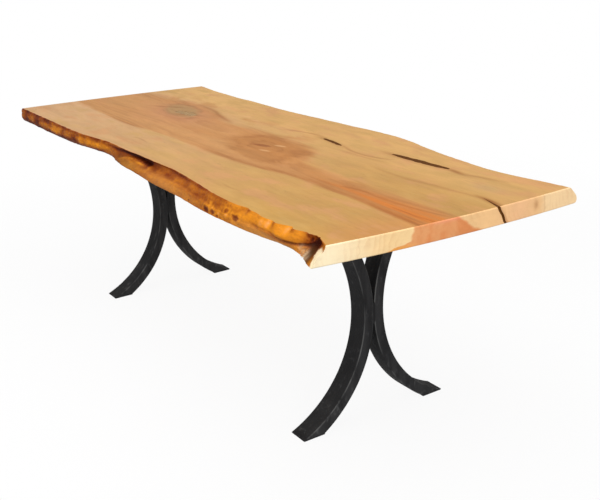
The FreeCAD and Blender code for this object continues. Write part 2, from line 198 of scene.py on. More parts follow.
def spline(places, heights):
    """Natural cubic spline through points, as a function of arrays."""
    places, heights = np.asarray(places, float), np.asarray(heights, float)
    gaps, count = np.diff(places), len(places)
    slopes = np.diff(heights) / gaps
    system, right = np.eye(count), np.zeros(count)
    for i in range(1, count - 1):
        system[i, i - 1:i + 2] = gaps[i - 1], 2 * (gaps[i - 1] + gaps[i]), gaps[i]
        right[i] = 6 * (slopes[i] - slopes[i - 1])
    bends = np.linalg.solve(system, right)

    def at(x):
        i = np.clip(np.searchsorted(places, x) - 1, 0, count - 2)
        a = (places[i + 1] - x) / gaps[i]
        b = 1 - a
        curve = (a ** 3 - a) * bends[i] + (b ** 3 - b) * bends[i + 1]
        return a * heights[i] + b * heights[i + 1] + curve * gaps[i] ** 2 / 6
    return at


def smoothstep(low, high, x):
    t = np.clip((x - low) / (high - low), 0, 1)
    return t * t * (3 - 2 * t)


def band(x, start, full, turn, end):
    """One from full to turn, rising before and falling after."""
    return smoothstep(start, full, x) * (1 - smoothstep(turn, end, x))


def bell(x, middle, reach):
    return np.exp(-((x - middle) / reach) ** 2)


def noise(x, y, seed):
    """Smooth gradient noise on a plane, about -1 to 1."""
    draw = np.random.RandomState(seed)
    turn = draw.uniform(0, 2 * math.pi, NOISE_CELLS)
    order = draw.permutation(NOISE_CELLS)
    x0, y0 = np.floor(x).astype(int), np.floor(y).astype(int)
    total = np.zeros(np.broadcast(x, y).shape)
    for dx, dy in ((0, 0), (0, 1), (1, 0), (1, 1)):
        angle = turn[order[(order[(x0 + dx) % NOISE_CELLS] + y0 + dy) % NOISE_CELLS]]
        fx, fy = x - x0 - dx, y - y0 - dy
        fade = 1
        for t in (1 - np.abs(fx), 1 - np.abs(fy)):
            fade = fade * t ** 3 * (t * (t * 6 - 15) + 10)
        total += fade * (np.cos(angle) * fx + np.sin(angle) * fy)
    return total * 1.5


def layered(x, y, seed, octaves=3):
    """Noise with finer and fainter layers added."""
    return sum(noise(x * 2 ** k, y * 2 ** k, seed + k) / 2 ** k for k in range(octaves))


def run_along(path):
    """Distance along a path at each of its points."""
    return np.concatenate([[0], np.cumsum(np.linalg.norm(np.diff(path, axis=0), axis=1))])


def unit(vectors):
    return vectors / np.linalg.norm(vectors, axis=1)[:, None]


def leftwards(vectors):
    return np.stack([-vectors[:, 1], vectors[:, 0]], 1)


# Meshes, as pairs of vertices and faces

def add_object(name, data):
    thing = bpy.data.objects.new(name, data)
    bpy.context.scene.collection.objects.link(thing)
    return thing


def put(name, mesh, slot, *nodes, kinds=None, attributes=None):
    """Makes a piece with smooth faces and sharp edges where the kind of face changes. Gives it its body
    and the materials of its slot, and hides the solids it stands for."""
    data = bpy.data.meshes.new(name)
    data.from_pydata([tuple(v) for v in mesh[0]], [], [tuple(int(i) for i in f) for f in mesh[1]])
    for key, values in (attributes or {}).items():
        layer = data.attributes.new(key, "FLOAT", "POINT").data
        layer.foreach_set("value", np.asarray(values, np.float32))
    if kinds is not None:
        data.polygons.foreach_set("material_index", np.asarray(kinds, np.int32))
    work = bmesh.new()
    work.from_mesh(data)
    bmesh.ops.recalc_face_normals(work, faces=work.faces)
    for edge in work.edges:
        met = {face.material_index for face in edge.link_faces}
        edge.smooth = len(met) < 2 and edge.calc_face_angle(0) <= SHARP_ANGLE
    work.to_mesh(data)
    work.free()
    data.polygons.foreach_set("use_smooth", np.ones(len(data.polygons), bool))
    data.update()
    thing = add_object(name, data)
    for material in MATERIALS[slot]:
        thing.data.materials.append(material)
    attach(thing, "root")
    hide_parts(*nodes)


def shifted(faces, start):
    return [tuple(start + i for i in face) for face in faces]


def ring_faces(rings, count):
    """Quads between closed rings of points, one ring after the other."""
    faces = []
    for low in range(0, (rings - 1) * count, count):
        high = low + count
        for i in range(count):
            j = (i + 1) % count
            faces.append((low + i, low + j, high + j, high + i))
    return faces


def skin(rings):
    """Rings of points joined into one body with closed ends."""
    vertices = [point for ring in rings for point in ring]
    count = len(rings[0])
    ends = [tuple(range(count)), tuple(range(len(vertices) - count, len(vertices)))]
    return vertices, ring_faces(len(rings), count) + ends


def joined(parts):
    vertices, faces = [], []
    for some, theirs in parts:
        faces += shifted(theirs, len(vertices))
        vertices += some
    return vertices, faces


def inside(points, loop):
    """Which points of a plane lie inside a closed loop."""
    loop = np.asarray(loop)
    found = np.zeros(len(points), bool)
    for a, b in zip(loop, np.roll(loop, -1, axis=0)):
        crosses = (a[1] > points[:, 1]) != (b[1] > points[:, 1])
        x = a[0] + (points[:, 1] - a[1]) / ((b[1] - a[1]) or 1) * (b[0] - a[0])
        found ^= crosses & (points[:, 0] < x)
    return found


def within(points, loops):
    """Which points lie inside the first loop and outside the others."""
    found = inside(points, loops[0])
    for loop in loops[1:]:
        found &= ~inside(points, loop)
    return found


def cap(loops, pitch=None):
    """Triangles over the first loop, less the other loops, with points added on a lattice."""
    points, edges, added = [], [], []
    for loop in loops:
        count = len(loop)
        edges += shifted([(i, (i + 1) % count) for i in range(count)], len(points))
        points += list(loop)
    if pitch:
        outer = np.asarray(loops[0])
        xs, ys = (np.arange(low + pitch, high, pitch) for low, high in zip(outer.min(0), outer.max(0)))
        lattice = np.array([(x, y) for x in xs for y in ys])
        keep = within(lattice, loops)
        for loop in loops:
            gap = np.sqrt(((lattice[:, None] - np.asarray(loop)[None]) ** 2).sum(2).min(1))
            keep &= gap > pitch / 3
        added = lattice[keep].tolist()
    made = delaunay_2d_cdt([Vector(p) for p in points + added], edges, [], 0, 1e-9)
    corners = np.array([tuple(v) for v in made[0]])
    faces, sources = made[2:4]
    keep = within(np.array([corners[list(face)].mean(0) for face in faces]), loops)
    return added, [tuple(sources[i][0] for i in face) for face, good in zip(faces, keep) if good]


def offset_loop(loop, distance):
    """A loop moved inwards by a distance, for loops that turn to the left."""
    along = unit(np.roll(loop, -1, axis=0) - loop)
    inwards = unit(leftwards(along + np.roll(along, 1, axis=0)))
    square = (inwards * leftwards(along)).sum(1)
    return loop + inwards * (distance / np.maximum(square, 0.4))[:, None]


def prism(loops, low, high, easing=0):
    """Upright plate with eased edges. The first loop is its outline, the rest are holes."""
    steps = ((low, 0), (high, 0))
    if easing:
        steps = ((low, easing), (low + easing, 0), (high - easing, 0), (high, easing))
    vertices, faces = [], []
    ends = [], []
    for k, loop in enumerate(loops):
        start, count = len(vertices), len(loop)
        for z, inset in steps:
            vertices += [(x, y, z) for x, y in offset_loop(loop, -inset if k else inset)]
        faces += shifted(ring_faces(len(steps), count), start)
        for end, first in zip(ends, (start, len(vertices) - count)):
            end.append(range(first, first + count))
    for end in ends:
        index = [i for ring in end for i in ring]
        triangles = cap([[vertices[i][:2] for i in ring] for ring in end])[1]
        faces += [tuple(index[i] for i in face) for face in triangles]
    return vertices, faces


def circle(x, y, radius, count):
    angles = np.arange(count) * 2 * math.pi / count
    return np.stack([x + radius * np.cos(angles), y + radius * np.sin(angles)], 1)


def rounded_rectangle(x, y, half_x, half_y, radius, count):
    """Loop that turns to the left, with count points in each corner."""
    points = []
    for quarter, (sx, sy) in enumerate(((1, 1), (-1, 1), (-1, -1), (1, -1))):
        cx, cy = x + sx * (half_x - radius), y + sy * (half_y - radius)
        for i in range(count):
            angle = (quarter + i / (count - 1)) * math.pi / 2
            points.append((cx + radius * math.cos(angle), cy + radius * math.sin(angle)))
    return np.array(points)


# Slab

def edge_function(rows):
    """Distance of a live edge from the middle line, as a function of x and depth share."""
    rows = np.array(rows)
    curves = [spline(rows[:, 0] * HALF_LENGTH, shares * HALF_WIDTH) for shares in rows[:, 1:].T]

    def at(x, depth):
        total = 0
        for share, curve in zip(LEVEL_SHARES, curves):
            weight = 1
            for other in LEVEL_SHARES:
                if other != share:
                    weight = weight * (depth - other) / (share - other)
            total = total + weight * curve(x)
        return total
    return at


def cut_x(cut, y):
    """Place along the slab of a bowed saw cut."""
    w = (y / HALF_WIDTH + SAW_REACH_SHARE) / (2 * SAW_REACH_SHARE)
    return (cut[0] + (cut[1] - cut[0]) * w) * HALF_LENGTH + cut[2] * (1 - (2 * w - 1) ** 2)


front_edge = edge_function(FRONT_EDGE_SHARES)
back_edge = edge_function(BACK_EDGE_SHARES)

# The ledge along the front edge: its depth share and how strongly it steps, along x
LEDGE_LINE = spline(
    (-0.30, -0.22, -0.155, -0.067, 0.0, 0.05, 0.106, 0.20, 0.36,
     0.50, 0.62, 0.75, 0.80, 0.85, 0.885, 0.93, 0.98, 1.04),
    (1.02, 0.74, 0.45, 0.30, 0.36, 0.47, 0.58, 0.52, 0.47,
     0.50, 0.56, 0.60, 0.56, 0.50, 0.60, 0.66, 0.60, 0.40),
)
LEDGE_STEP = (
    (-0.27, -0.21, -0.10, 0.0, 0.05, 0.12, 0.30, 0.50, 0.62, 0.75, 0.85, 0.95, 1.0, 1.04),
    (0.0, 0.006, 0.011, 0.012, 0.010, 0.006, 0.005, 0.003, 0.002, 0.003, 0.005, 0.006, 0.004, 0.0),
)
# Tone of the front edge along x, from dark brown at 0 to pale amber at 1
FRONT_TONE = (
    (-1.16, -1.08, -1.00, -0.93, -0.80, -0.68, -0.60, -0.50, -0.40, -0.31,
     -0.26, 0.05, 0.50, 0.66, 0.72, 0.80, 0.95, 1.00, 1.07),
    (0.34, 0.36, 0.35, 0.39, 0.39, 0.38, 0.46, 0.47, 0.46, 0.46,
     0.47, 0.45, 0.46, 0.52, 0.57, 0.55, 0.57, 0.50, 0.46),
)
# The gouge: depth share of its middle and its half height, along x
GOUGE_COURSE = ((-0.27, -0.18, -0.10, -0.045, -0.005, 0.028), (0.22, 0.18, 0.18, 0.23, 0.31, 0.38))
GOUGE_HEIGHT = ((-0.27, -0.12, -0.04, 0.03), (0.06, 0.11, 0.17, 0.15))
# Pits (x, depth share, radius, depth) and lobes (x, depth share, radius, height) of the front edge
PITS = (
    (0.520, 0.80, 0.0105, 0.003), (0.562, 0.74, 0.0085, 0.002), (0.634, 0.43, 0.0070, 0.002),
    (0.688, 0.57, 0.0105, 0.003), (0.590, 0.88, 0.0050, 0.002), (0.395, 0.86, 0.0040, 0.002),
)
LOBES = (
    (0.735, 0.30, 0.026, 0.003), (0.815, 0.14, 0.024, 0.004), (0.845, 0.30, 0.015, 0.004),
    (0.902, 0.32, 0.024, 0.005), (0.932, 0.36, 0.014, 0.004), (0.972, 0.22, 0.018, 0.004),
)
# Pale spots of the front edge, some of them painted highlights on its lobes, and pale bark at its right
# corner (x, depth share, radius, strength)
PALE_SPOTS_AND_HIGHLIGHTS = (
    (0.815, 0.24, 0.015, 0.20), (0.846, 0.14, 0.013, 0.24), (0.926, 0.12, 0.012, 0.20),
    (0.598, 0.67, 0.009, 0.30), (0.640, 0.61, 0.009, 0.32), (0.660, 0.50, 0.006, 0.20),
    (0.538, 0.47, 0.009, 0.28), (0.558, 0.55, 0.006, 0.26), (0.620, 0.82, 0.007, 0.24),
    (0.675, 0.80, 0.008, 0.24), (0.030, 0.62, 0.012, 0.10), (1.070, 0.95, 0.010, 0.14),
)
BARK_SPOTS = (
    (1.017, 0.90, 0.009, 0.45), (1.000, 0.84, 0.008, 0.28), (1.036, 0.97, 0.009, 0.30),
    (0.988, 0.72, 0.008, 0.20),
)
# Scallops in the top of the front edge: where each begins, is deepest, turns and ends along x, and its depth
SCALLOPS = (
    (0.67, 0.705, 0.715, 0.730, 0.003), (0.80, 0.850, 0.856, 0.868, 0.004),
    (0.87, 0.920, 0.930, 0.946, 0.011), (0.95, 0.985, 0.990, 1.005, 0.006),
)
# Patches of the front edge (x, depth share, reach along x, reach in depth share, change of tone)
PATCHES = (
    (-1.085, 0.35, 0.050, 0.34, -0.12), (-0.965, 0.42, 0.030, 0.34, -0.15),
    (-0.870, 0.20, 0.032, 0.17, -0.13), (-0.765, 0.42, 0.050, 0.24, 0.14),
    (-0.655, 0.74, 0.050, 0.22, -0.16), (-0.560, 0.52, 0.035, 0.30, -0.15),
    (-0.420, 0.40, 0.085, 0.22, 0.13), (-0.240, 0.26, 0.050, 0.13, -0.16),
    (-0.036, 0.47, 0.032, 0.06, 0.42), (-0.090, 0.80, 0.070, 0.14, 0.08), (0.280, 0.08, 0.090, 0.10, -0.15),
    (0.450, 0.05, 0.080, 0.08, -0.10), (0.200, 0.62, 0.080, 0.14, 0.10), (0.400, 0.72, 0.060, 0.15, 0.10),
    (0.745, 0.22, 0.035, 0.15, 0.07), (0.800, 0.46, 0.028, 0.06, -0.14), (1.038, 0.60, 0.018, 0.30, -0.62),
)


def spot(x, depth, px, pd, radius):
    """Round mask on a live edge: one at its middle."""
    return np.exp(-((x - px) ** 2 + ((depth - pd) * THICKNESS) ** 2) / radius ** 2)


def pits(x, depth, places, seed):
    """Relief of pits with uneven outlines, and masks of their floors and rims for painted shade and painted
    highlight.
    """
    relief, dark, pale = np.zeros((3, *x.shape))
    for px, pd, radius, deep in places:
        gap = np.sqrt((x - px) ** 2 * 0.30 + ((depth - pd) * THICKNESS) ** 2) / radius
        gap *= 1 + 0.5 * noise(x * 70 + px * 7, depth * 5, seed)
        pit = 1 - smoothstep(0.30, 1.0, gap)
        rim = bell(gap, 1.2, 0.3)
        relief += deep * (0.3 * rim - pit)
        dark += pit
        pale += rim
    return relief, dark, pale


def front_relief(x, depth):
    """How far the front edge stands out from its smooth form, its colour value with painted shade and
    highlights in it, and where the saw has cleaned it.
    """
    depth = np.broadcast_to(depth, x.shape)
    line = LEDGE_LINE(x)
    step = np.interp(x, *LEDGE_STEP)
    below = (depth - line) * THICKNESS
    under = smoothstep(-0.0015, 0.0015, below)
    clear_of_top = smoothstep(0.02, 0.12, depth)
    left_part = 1 - smoothstep(-0.35, -0.22, x)
    from_cut = cut_x(RIGHT_CUT, -HALF_WIDTH) - x
    lumps = layered(x * 13, depth * 2.2, 11)
    mottle = layered(x * 38, depth * 4, 31)
    flakes = layered(x * 120, depth * 7, 51)
    relief = 0.0015 * lumps + 0.0007 * layered(x * 60, depth * 6, 21)
    relief += left_part * (0.0016 * mottle - 0.0006)
    relief += step * 0.5 * under * bell(below, 0.002, 0.013)
    relief -= step * 0.40 * (1 - under) * clear_of_top
    tone_and_painted_light = np.interp(x, *FRONT_TONE) + 0.08 * lumps + 0.06 * flakes * bell(x, 0.60, 0.16)
    # The left part has painted shade under the top and is amber in the middle
    tone_and_painted_light += left_part * (0.13 * layered(x * 15, depth * 1.4, 33) + 0.05 * mottle)
    tone_and_painted_light += left_part * (0.13 * bell(depth, 0.50, 0.24) - 0.10 * bell(depth, 0.03, 0.10))
    tone_and_painted_light -= (1 - smoothstep(-0.05, 0.05, x)) * (0.03 + 0.17 * bell(depth, 1.0, 0.40))
    for lx, ld, along, down, change in PATCHES:
        tone_and_painted_light += change * bell(x, lx, along) * bell(depth, ld, down)
    # A crease under the top of the left part, darkened with painted shade
    crease = bell(depth, 0.20, 0.10) * band(x, -0.62, -0.25, -0.14, -0.05)
    relief -= 0.0012 * crease
    tone_and_painted_light -= 0.14 * crease
    # The gouge, darkened with painted shade
    gouge = bell(depth, np.interp(x, *GOUGE_COURSE), np.interp(x, *GOUGE_HEIGHT))
    gouge *= band(x, -0.27, -0.07, 0.018, 0.040)
    relief -= 0.004 * gouge
    tone_and_painted_light -= 0.52 * gouge * (1 + 0.25 * flakes)
    # By the gouge: painted shade on the wall above the ledge and a painted highlight along the crest of the
    # lip
    near_gouge = band(x, -0.26, -0.18, 0.03, 0.07)
    tone_and_painted_light -= 0.10 * near_gouge * (1 - under) * (1 - gouge)
    tone_and_painted_light += 0.14 * near_gouge * bell(depth, line + 0.05, 0.06)
    # Painted shade on the recessed wall above the ledge
    recess = band(x, 0.03, 0.08, 0.55, 0.68) * (1 - under)
    tone_and_painted_light -= (0.07 + 0.06 * bell(x, 0.06, 0.06)) * recess
    # Painted shade in the pit floors and a painted highlight on their rims
    hollow, dark, pale = pits(x, depth, PITS, 41)
    relief += 0.5 * hollow * clear_of_top
    tone_and_painted_light += 0.09 * pale - 0.27 * dark * clear_of_top
    # Lobes stand out and take a little painted highlight
    for *place, high in LOBES:
        lobe = spot(x, depth, *place)
        relief += high * lobe
        tone_and_painted_light += 0.05 * lobe
    # Pale spots, some of them painted highlights on the lobes
    for *place, strength in PALE_SPOTS_AND_HIGHLIGHTS:
        tone_and_painted_light += strength * spot(x, depth, *place)
    for *course, deep in SCALLOPS:
        relief -= deep * band(x, *course) * (1 - smoothstep(0.0, 0.42, depth))
        # Painted shade at the end of each scallop
        tone_and_painted_light -= 0.20 * bell(x, course[-1], 0.009) * bell(depth, 0, 0.18)
    # Painted shade in the crevice under the ledge, and a little lighter below it
    crevice = bell(below, 0.0, 0.0036) * band(x, 0.74, 0.80, 1.02, 1.06)
    crevice *= (0.20 + 0.80 * smoothstep(0.84, 0.93, x)) * (1 + 0.3 * flakes)
    relief -= 0.0040 * crevice
    tone_and_painted_light -= 0.36 * crevice - 0.05 * band(x, 0.74, 0.80, 0.90, 0.97) * smoothstep(0.003, 0.007, below)
    # The right corner: a notch with dark bark and painted shade in it, flaky bark below it, and a bulge that
    # the saw has cleaned
    relief -= (0.015 + 0.004 * flakes) * bell(x, 1.034, 0.026) * bell(depth, 0.20, 0.26)
    tone_and_painted_light -= (0.30 + 0.16 * flakes) * bell(x, 1.024, 0.032) * bell(depth, 0.26, 0.24)
    bark = bell(x, 1.014, 0.028) * smoothstep(0.50, 0.70, depth)
    relief += bark * 0.0045 * flakes
    tone_and_painted_light += bark * 0.22 * flakes
    relief += 0.007 * bell(depth, 0.50, 0.24) * smoothstep(0.040, 0.006, from_cut)
    clean_width = 0.016 + 0.030 * bell(depth, 0.55, 0.30)
    sawn = smoothstep(clean_width, clean_width - 0.010, from_cut - 0.005 * flakes)
    sawn *= smoothstep(0.22, 0.38, depth + 0.05 * flakes)
    for *place, strength in BARK_SPOTS:
        sawn = np.maximum(sawn, strength * spot(x, depth, *place))
    sawn *= 1 - 0.85 * bell(x, 1.042, 0.016) * bell(depth, 0.60, 0.28)
    return relief, np.clip(tone_and_painted_light, 0, 1), sawn


def back_relief(x, depth):
    """The same for the back edge, which is calmer."""
    depth = np.broadcast_to(depth, x.shape)
    lumps = layered(x * 9, depth * 1.8, 61)
    relief = 0.0022 * lumps + 0.0009 * layered(x * 48, depth * 5, 71)
    draw = np.random.RandomState(81)
    limits = ((-1.05, 1.08), (0.25, 0.9), (0.005, 0.012), (0.002, 0.005))
    places = [[draw.uniform(low, high) for low, high in limits] for k in range(34)]
    hollow, dark, pale = pits(x, depth, places, 91)
    # Painted shade in the pit floors and a painted highlight on their rims
    tone_and_painted_light = 0.60 + 0.14 * lumps + 0.10 * layered(x * 34, depth * 3, 75) + 0.10 * pale - 0.36 * dark
    sawn = smoothstep(0.020, 0.008, cut_x(RIGHT_CUT, HALF_WIDTH) - x)
    return relief + hollow, np.clip(tone_and_painted_light, 0, 1), sawn


def slab_levels():
    """Depths below the top face, closer together near both faces."""
    rim = np.array([0.0, 0.0004, 0.0011, ARRIS, 0.0032])
    middle = np.linspace(rim[-1], THICKNESS - rim[-1], SIDE_LEVELS)[1:-1]
    return np.concatenate([rim, middle, THICKNESS - rim[::-1]])


def from_face(depths):
    """Distance to the nearer face of the slab."""
    return np.minimum(depths, THICKNESS - depths)[:, None]


def live_edge(depths, edge, relief_of, side, stations):
    """Points, colour values with painted shade and highlights, and sawn part of one live edge at each depth,
    from the left cut to the right cut.
    """
    share = (depths / THICKNESS)[:, None]
    into_arris = np.maximum(ARRIS - from_face(depths), 0)
    rounding = ARRIS - np.sqrt(np.maximum(ARRIS ** 2 - into_arris ** 2, 0))
    easing = np.maximum(END_EASING - from_face(depths), 0)
    s = np.linspace(0, 1, stations)[None]
    left, right = np.full_like(share, -HALF_LENGTH), np.full_like(share, HALF_LENGTH)
    # The ends depend on the reach at the ends, so they are found in several passes
    for turn in range(EDGE_PASSES):
        x = left + s * (right - left)
        relief, tone_and_painted_light, sawn = relief_of(x, share)
        y = side * (edge(x, share) + relief - rounding)
        left = cut_x(LEFT_CUT, y[:, :1]) + easing
        right = cut_x(RIGHT_CUT, y[:, -1:]) - easing
    return x, y, tone_and_painted_light, sawn


def end_face(depths, cut, easing_sign, start_y, end_y, shares):
    """Points of one sawn end between two corners, for each depth."""
    y = start_y[:, None] + (end_y - start_y)[:, None] * shares[None]
    x = cut_x(cut, y) + easing_sign * np.maximum(END_EASING - from_face(depths), 0)
    return x, y


def end_check_course(depths):
    """Tip of the end check at each depth, and the y of its front and back lip."""
    share = (depths / THICKNESS)[:, None]
    ends = zip(np.array(END_CHECK_TOP), np.array(END_CHECK_BOTTOM))
    tip, mouth = [top * (1 - share) + bottom * share for top, bottom in ends]
    wander = 0.0022 * noise(share[:, 0] * 3.1, share[:, 0] * 0 + 0.4, 101)
    lips = []
    for sign in (-1, 1):
        y = mouth[:, 1]
        for turn in range(LIP_PASSES):
            along = (cut_x(RIGHT_CUT, y) - tip[:, 0]) / (mouth[:, 0] - tip[:, 0])
            course = tip[:, 1] + along * (mouth[:, 1] - tip[:, 1])
            y = course + sign * along * END_CHECK_WIDTH / 2 + wander
        lips.append(y)
    return tip, lips


def check_loop(course, half_width, seed):
    """Outline of a check with an uneven width, as a loop that turns to the left."""
    course = np.array(course)
    run = run_along(course)
    run /= run[-1]
    s = (1 - np.cos(np.linspace(0, math.pi, CHECK_POINTS))) / 2
    x, y = spline(run, course[:, 0])(s), spline(run, course[:, 1])(s)
    length = math.hypot(x[-1] - x[0], y[-1] - y[0])
    y = y + 0.10 * half_width * noise(s * 9, s * 0 + 0.3, seed)
    leaf = np.sin(math.pi * s) ** 0.3
    uneven = [1 + 0.28 * layered(s * (3 + length * 14), s * 0 + 0.7, seed + k, 2) for k in (1, 2)]
    lower, upper = (half_width * np.maximum(leaf * side, 0) for side in uneven)
    return np.concatenate([np.stack([x, y - lower], 1), np.stack([x, y + upper], 1)[1:-1][::-1]])


# Kinds of face, in the order of the slab's materials
FACE, EDGE, END, POCKET = range(4)


def slab_sides(depths):
    """Columns of points round the slab: the kind of face after each, and its x, y, colour value with painted
    shade and highlights, and sawn part.
    """
    front = live_edge(depths, front_edge, front_relief, -1, FRONT_STATIONS)
    back = [part[:, ::-1] for part in live_edge(depths, back_edge, back_relief, 1, BACK_STATIONS)]
    tip, lips = end_check_course(depths)
    front_y, back_y = front[1], back[1]
    shares = np.linspace(0, 1, RIGHT_END_FRONT_POINTS)[1:]
    before = end_face(depths, RIGHT_CUT, -1, front_y[:, -1], lips[0], shares)
    shares = np.linspace(0, 1, RIGHT_END_BACK_POINTS)[:-1]
    after = end_face(depths, RIGHT_CUT, -1, lips[1], back_y[:, 0], shares)
    shares = np.linspace(0, 1, LEFT_END_POINTS)[1:-1]
    left = end_face(depths, LEFT_CUT, 1, back_y[:, -1], front_y[:, 0], shares)
    # The walls of the end check, with the tip between them
    inner = np.linspace(0, 1, END_CHECK_WALL_POINTS)[1:-1]
    ends = ((before[0][:, -1], lips[0], inner), (after[0][:, 0], lips[1], inner[::-1]))
    walls = [
        [lip[k][:, None] * (1 - order) + tip[:, k, None] * order for k in (0, 1)] for *lip, order in ends
    ]
    # Each part with the kind of its faces and the kind of the face after its last column
    parts = (
        (EDGE, END, *front), (END, POCKET, *before), (POCKET, POCKET, *walls[0]),
        (POCKET, POCKET, tip[:, :1], tip[:, 1:]), (POCKET, POCKET, *walls[1]), (END, END, *after),
        (EDGE, END, *back), (END, END, *left),
    )
    kinds = np.concatenate([[part[0]] * (part[2].shape[1] - 1) + [part[1]] for part in parts])
    columns = [
        np.concatenate([part[k] if k < len(part) else np.zeros_like(part[2]) for part in parts], 1)
        for k in (2, 3, 4, 5)
    ]
    return kinds, *columns


def slab(fills):
    """The slab, with pockets for the fills in its top face and holes for the inserts in its underside."""
    depths = slab_levels()
    kind, x, y, tone_and_painted_light, sawn = slab_sides(depths)
    rows, around = x.shape
    z = np.repeat((TOP - depths)[:, None], around, 1)
    vertices = np.stack([x, y, z], 2).reshape(-1, 3).tolist()
    faces = ring_faces(rows, around)
    kinds = np.tile(kind, rows - 1).tolist()
    holes = [
        (circle(*place, INSERT_RADIUS, INSERT_HOLE_POINTS), INSERT_HOLE_DEPTH)
        for pedestal_x in PEDESTALS.values() for place in bolt_places(pedestal_x)
    ]
    for face_z, inwards, first, pockets in ((TOP, -1, 0, fills), (UNDERSIDE, 1, (rows - 1) * around, holes)):
        index = list(range(first, first + around))
        loops = [[vertices[i][:2] for i in index]]
        for loop, deep in pockets:
            start, count = len(vertices), len(loop)
            vertices += [(px, py, face_z + inwards * drop) for drop in (0, deep) for px, py in loop]
            faces += shifted(ring_faces(2, count) + [tuple(range(count, 2 * count))], start)
            kinds += [POCKET] * (count + 1)
            loops.append(loop)
            index += range(start, start + count)
        added, triangles = cap(loops, CAP_PITCH)
        index += range(len(vertices), len(vertices) + len(added))
        vertices += [(px, py, face_z) for px, py in added]
        faces += [tuple(index[i] for i in face) for face in triangles]
        kinds += [FACE] * len(triangles)
    beyond = (0, len(vertices) - tone_and_painted_light.size)
    masks = {"tone_and_painted_light": np.pad(tone_and_painted_light.ravel(), beyond), "sawn": np.pad(sawn.ravel(), beyond)}
    put("live_edge_slab", (vertices, faces), "slab_wood", "slab", kinds=kinds, attributes=masks)


def slab_and_fills():
    fills = {
        node: (check_loop(course, half_width, seed), deep)
        for node, (course, half_width, deep, seed) in FILLS.items()
    }
    slab(list(fills.values()))
    for node, (loop, deep) in fills.items():
        slot = "knot_resin" if node == "knot_fill" else "check_resin"
        put(f"{node}_resin", prism([loop], TOP - deep, TOP - FILL_RECESS), slot, node)
    # Resin in the end check, a little behind the faces of the slab
    levels = np.linspace(FILL_RECESS, THICKNESS - FILL_RECESS, END_FILL_LEVELS)
    tip, lips = end_check_course(levels)
    front, back = (np.stack([cut_x(RIGHT_CUT, y) - FILL_END_RECESS, y], 1) for y in lips)
    courses = (tip, front, (front + back) / 2, back)
    rings = [[(*course[k], TOP - deep) for course in courses] for k, deep in enumerate(levels)]
    put("end_check_fill_resin", skin(rings), "check_resin", "end_check_fill")


# Legs and fittings

def bend_radius(spread, rise):
    reach = spread / 2 - TUBE_DEPTH - WAIST_GAP / 2
    return (reach ** 2 + rise ** 2) / (2 * reach)


LOWER_BEND = bend_radius(FOOT_SPREAD, WAIST_HEIGHT)
UPPER_BEND = bend_radius(TOP_SPREAD, LEG_TOP - WAIST_HEIGHT)


def leg_y(z, depth):
    """Distance from the middle plane of the fibre of a leg at a depth below its concave face."""
    bend = np.where(z < WAIST_HEIGHT, LOWER_BEND, UPPER_BEND)
    return bend + TUBE_DEPTH + WAIST_GAP / 2 - np.sqrt((bend + depth) ** 2 - (z - WAIST_HEIGHT) ** 2)


def leg_mesh(pedestal_x, side, heights):
    """Bent tube between the first and last height, with closed ends."""
    half_width, half_depth = TUBE_WIDTH / 2, TUBE_DEPTH / 2
    section = rounded_rectangle(0, half_depth, half_width, half_depth, TUBE_CORNER, TUBE_CORNER_POINTS)
    return skin([[(pedestal_x + px, side * leg_y(z, depth), z) for px, depth in section] for z in heights])


def coat_masks(rows):
    """Round each ring of a leg: its worn corners with a painted highlight, most in the middle of each corner,
    and its narrow flanks, which are painted lighter as the sides that take more light.
    """
    quarter = np.linspace(0, math.pi / 2, TUBE_CORNER_POINTS)
    turn = np.tile(quarter, 4) + np.repeat(np.arange(4) * math.pi / 2, TUBE_CORNER_POINTS)
    return {"corner_wear_and_highlight": np.tile(np.sin(2 * turn) ** 2, rows), "painted_flank_light": np.tile(np.abs(np.cos(turn)), rows)}


def leg_heights():
    """Heights at even steps along the bends."""
    low = np.linspace(math.asin((WAIST_HEIGHT - LEG_BOTTOM) / LOWER_BEND), 0, LOWER_BEND_POINTS)
    high = np.linspace(0, math.asin((LEG_TOP - WAIST_HEIGHT) / UPPER_BEND), UPPER_BEND_POINTS)[1:]
    heights = WAIST_HEIGHT + np.concatenate([-LOWER_BEND * np.sin(low), UPPER_BEND * np.sin(high)])
    heights[0], heights[-1] = LEG_BOTTOM, LEG_TOP
    return heights


def top_weld(pedestal_x, side, seed):
    """Rippled bead round the top of one leg, on the underside of the plate."""
    near, far = leg_y(LEG_TOP, TUBE_DEPTH), leg_y(LEG_TOP, 0)
    middle, half = side * (near + far) / 2, (far - near) / 2
    loop = rounded_rectangle(pedestal_x, middle, TUBE_WIDTH / 2, half, TUBE_CORNER, PLATE_CORNER_POINTS)
    closed = np.concatenate([loop, loop[:1]])
    run = run_along(closed)
    even = np.linspace(0, run[-1], TOP_WELD_POINTS)[:-1]
    path = np.stack([np.interp(even, run, closed[:, k]) for k in (0, 1)], 1)
    outwards = -leftwards(unit(np.roll(path, -1, axis=0) - np.roll(path, 1, axis=0)))
    count = len(path)
    pitch, height, uneven = TOP_WELD_RIPPLE
    ripple = np.abs(np.sin(run_along(path) * math.pi / pitch)) * height
    ripple += np.random.RandomState(seed).uniform(-uneven, uneven, count)
    base = path - outwards * TOP_WELD_BITE
    rings = []
    for angle in np.linspace(0, math.pi / 2, TOP_WELD_PROFILE_POINTS):
        swell = ripple * math.sin(2 * angle)
        reach = TOP_WELD_SIZE * (1 - math.sin(angle)) * 0.92 + swell
        rings.append((path + outwards * reach[:, None], TOP_WELD_SIZE * (1 - math.cos(angle)) + swell))
    rings += [(base, np.full(count, TOP_WELD_SIZE)), (base, np.zeros(count))]
    vertices = [(px, py, LEG_TOP - drop) for spots, drops in rings for (px, py), drop in zip(spots, drops)]
    last = (len(rings) - 1) * count
    shut = [(last + i, last + (i + 1) % count, (i + 1) % count, i) for i in range(count)]
    return vertices, ring_faces(len(rings), count) + shut


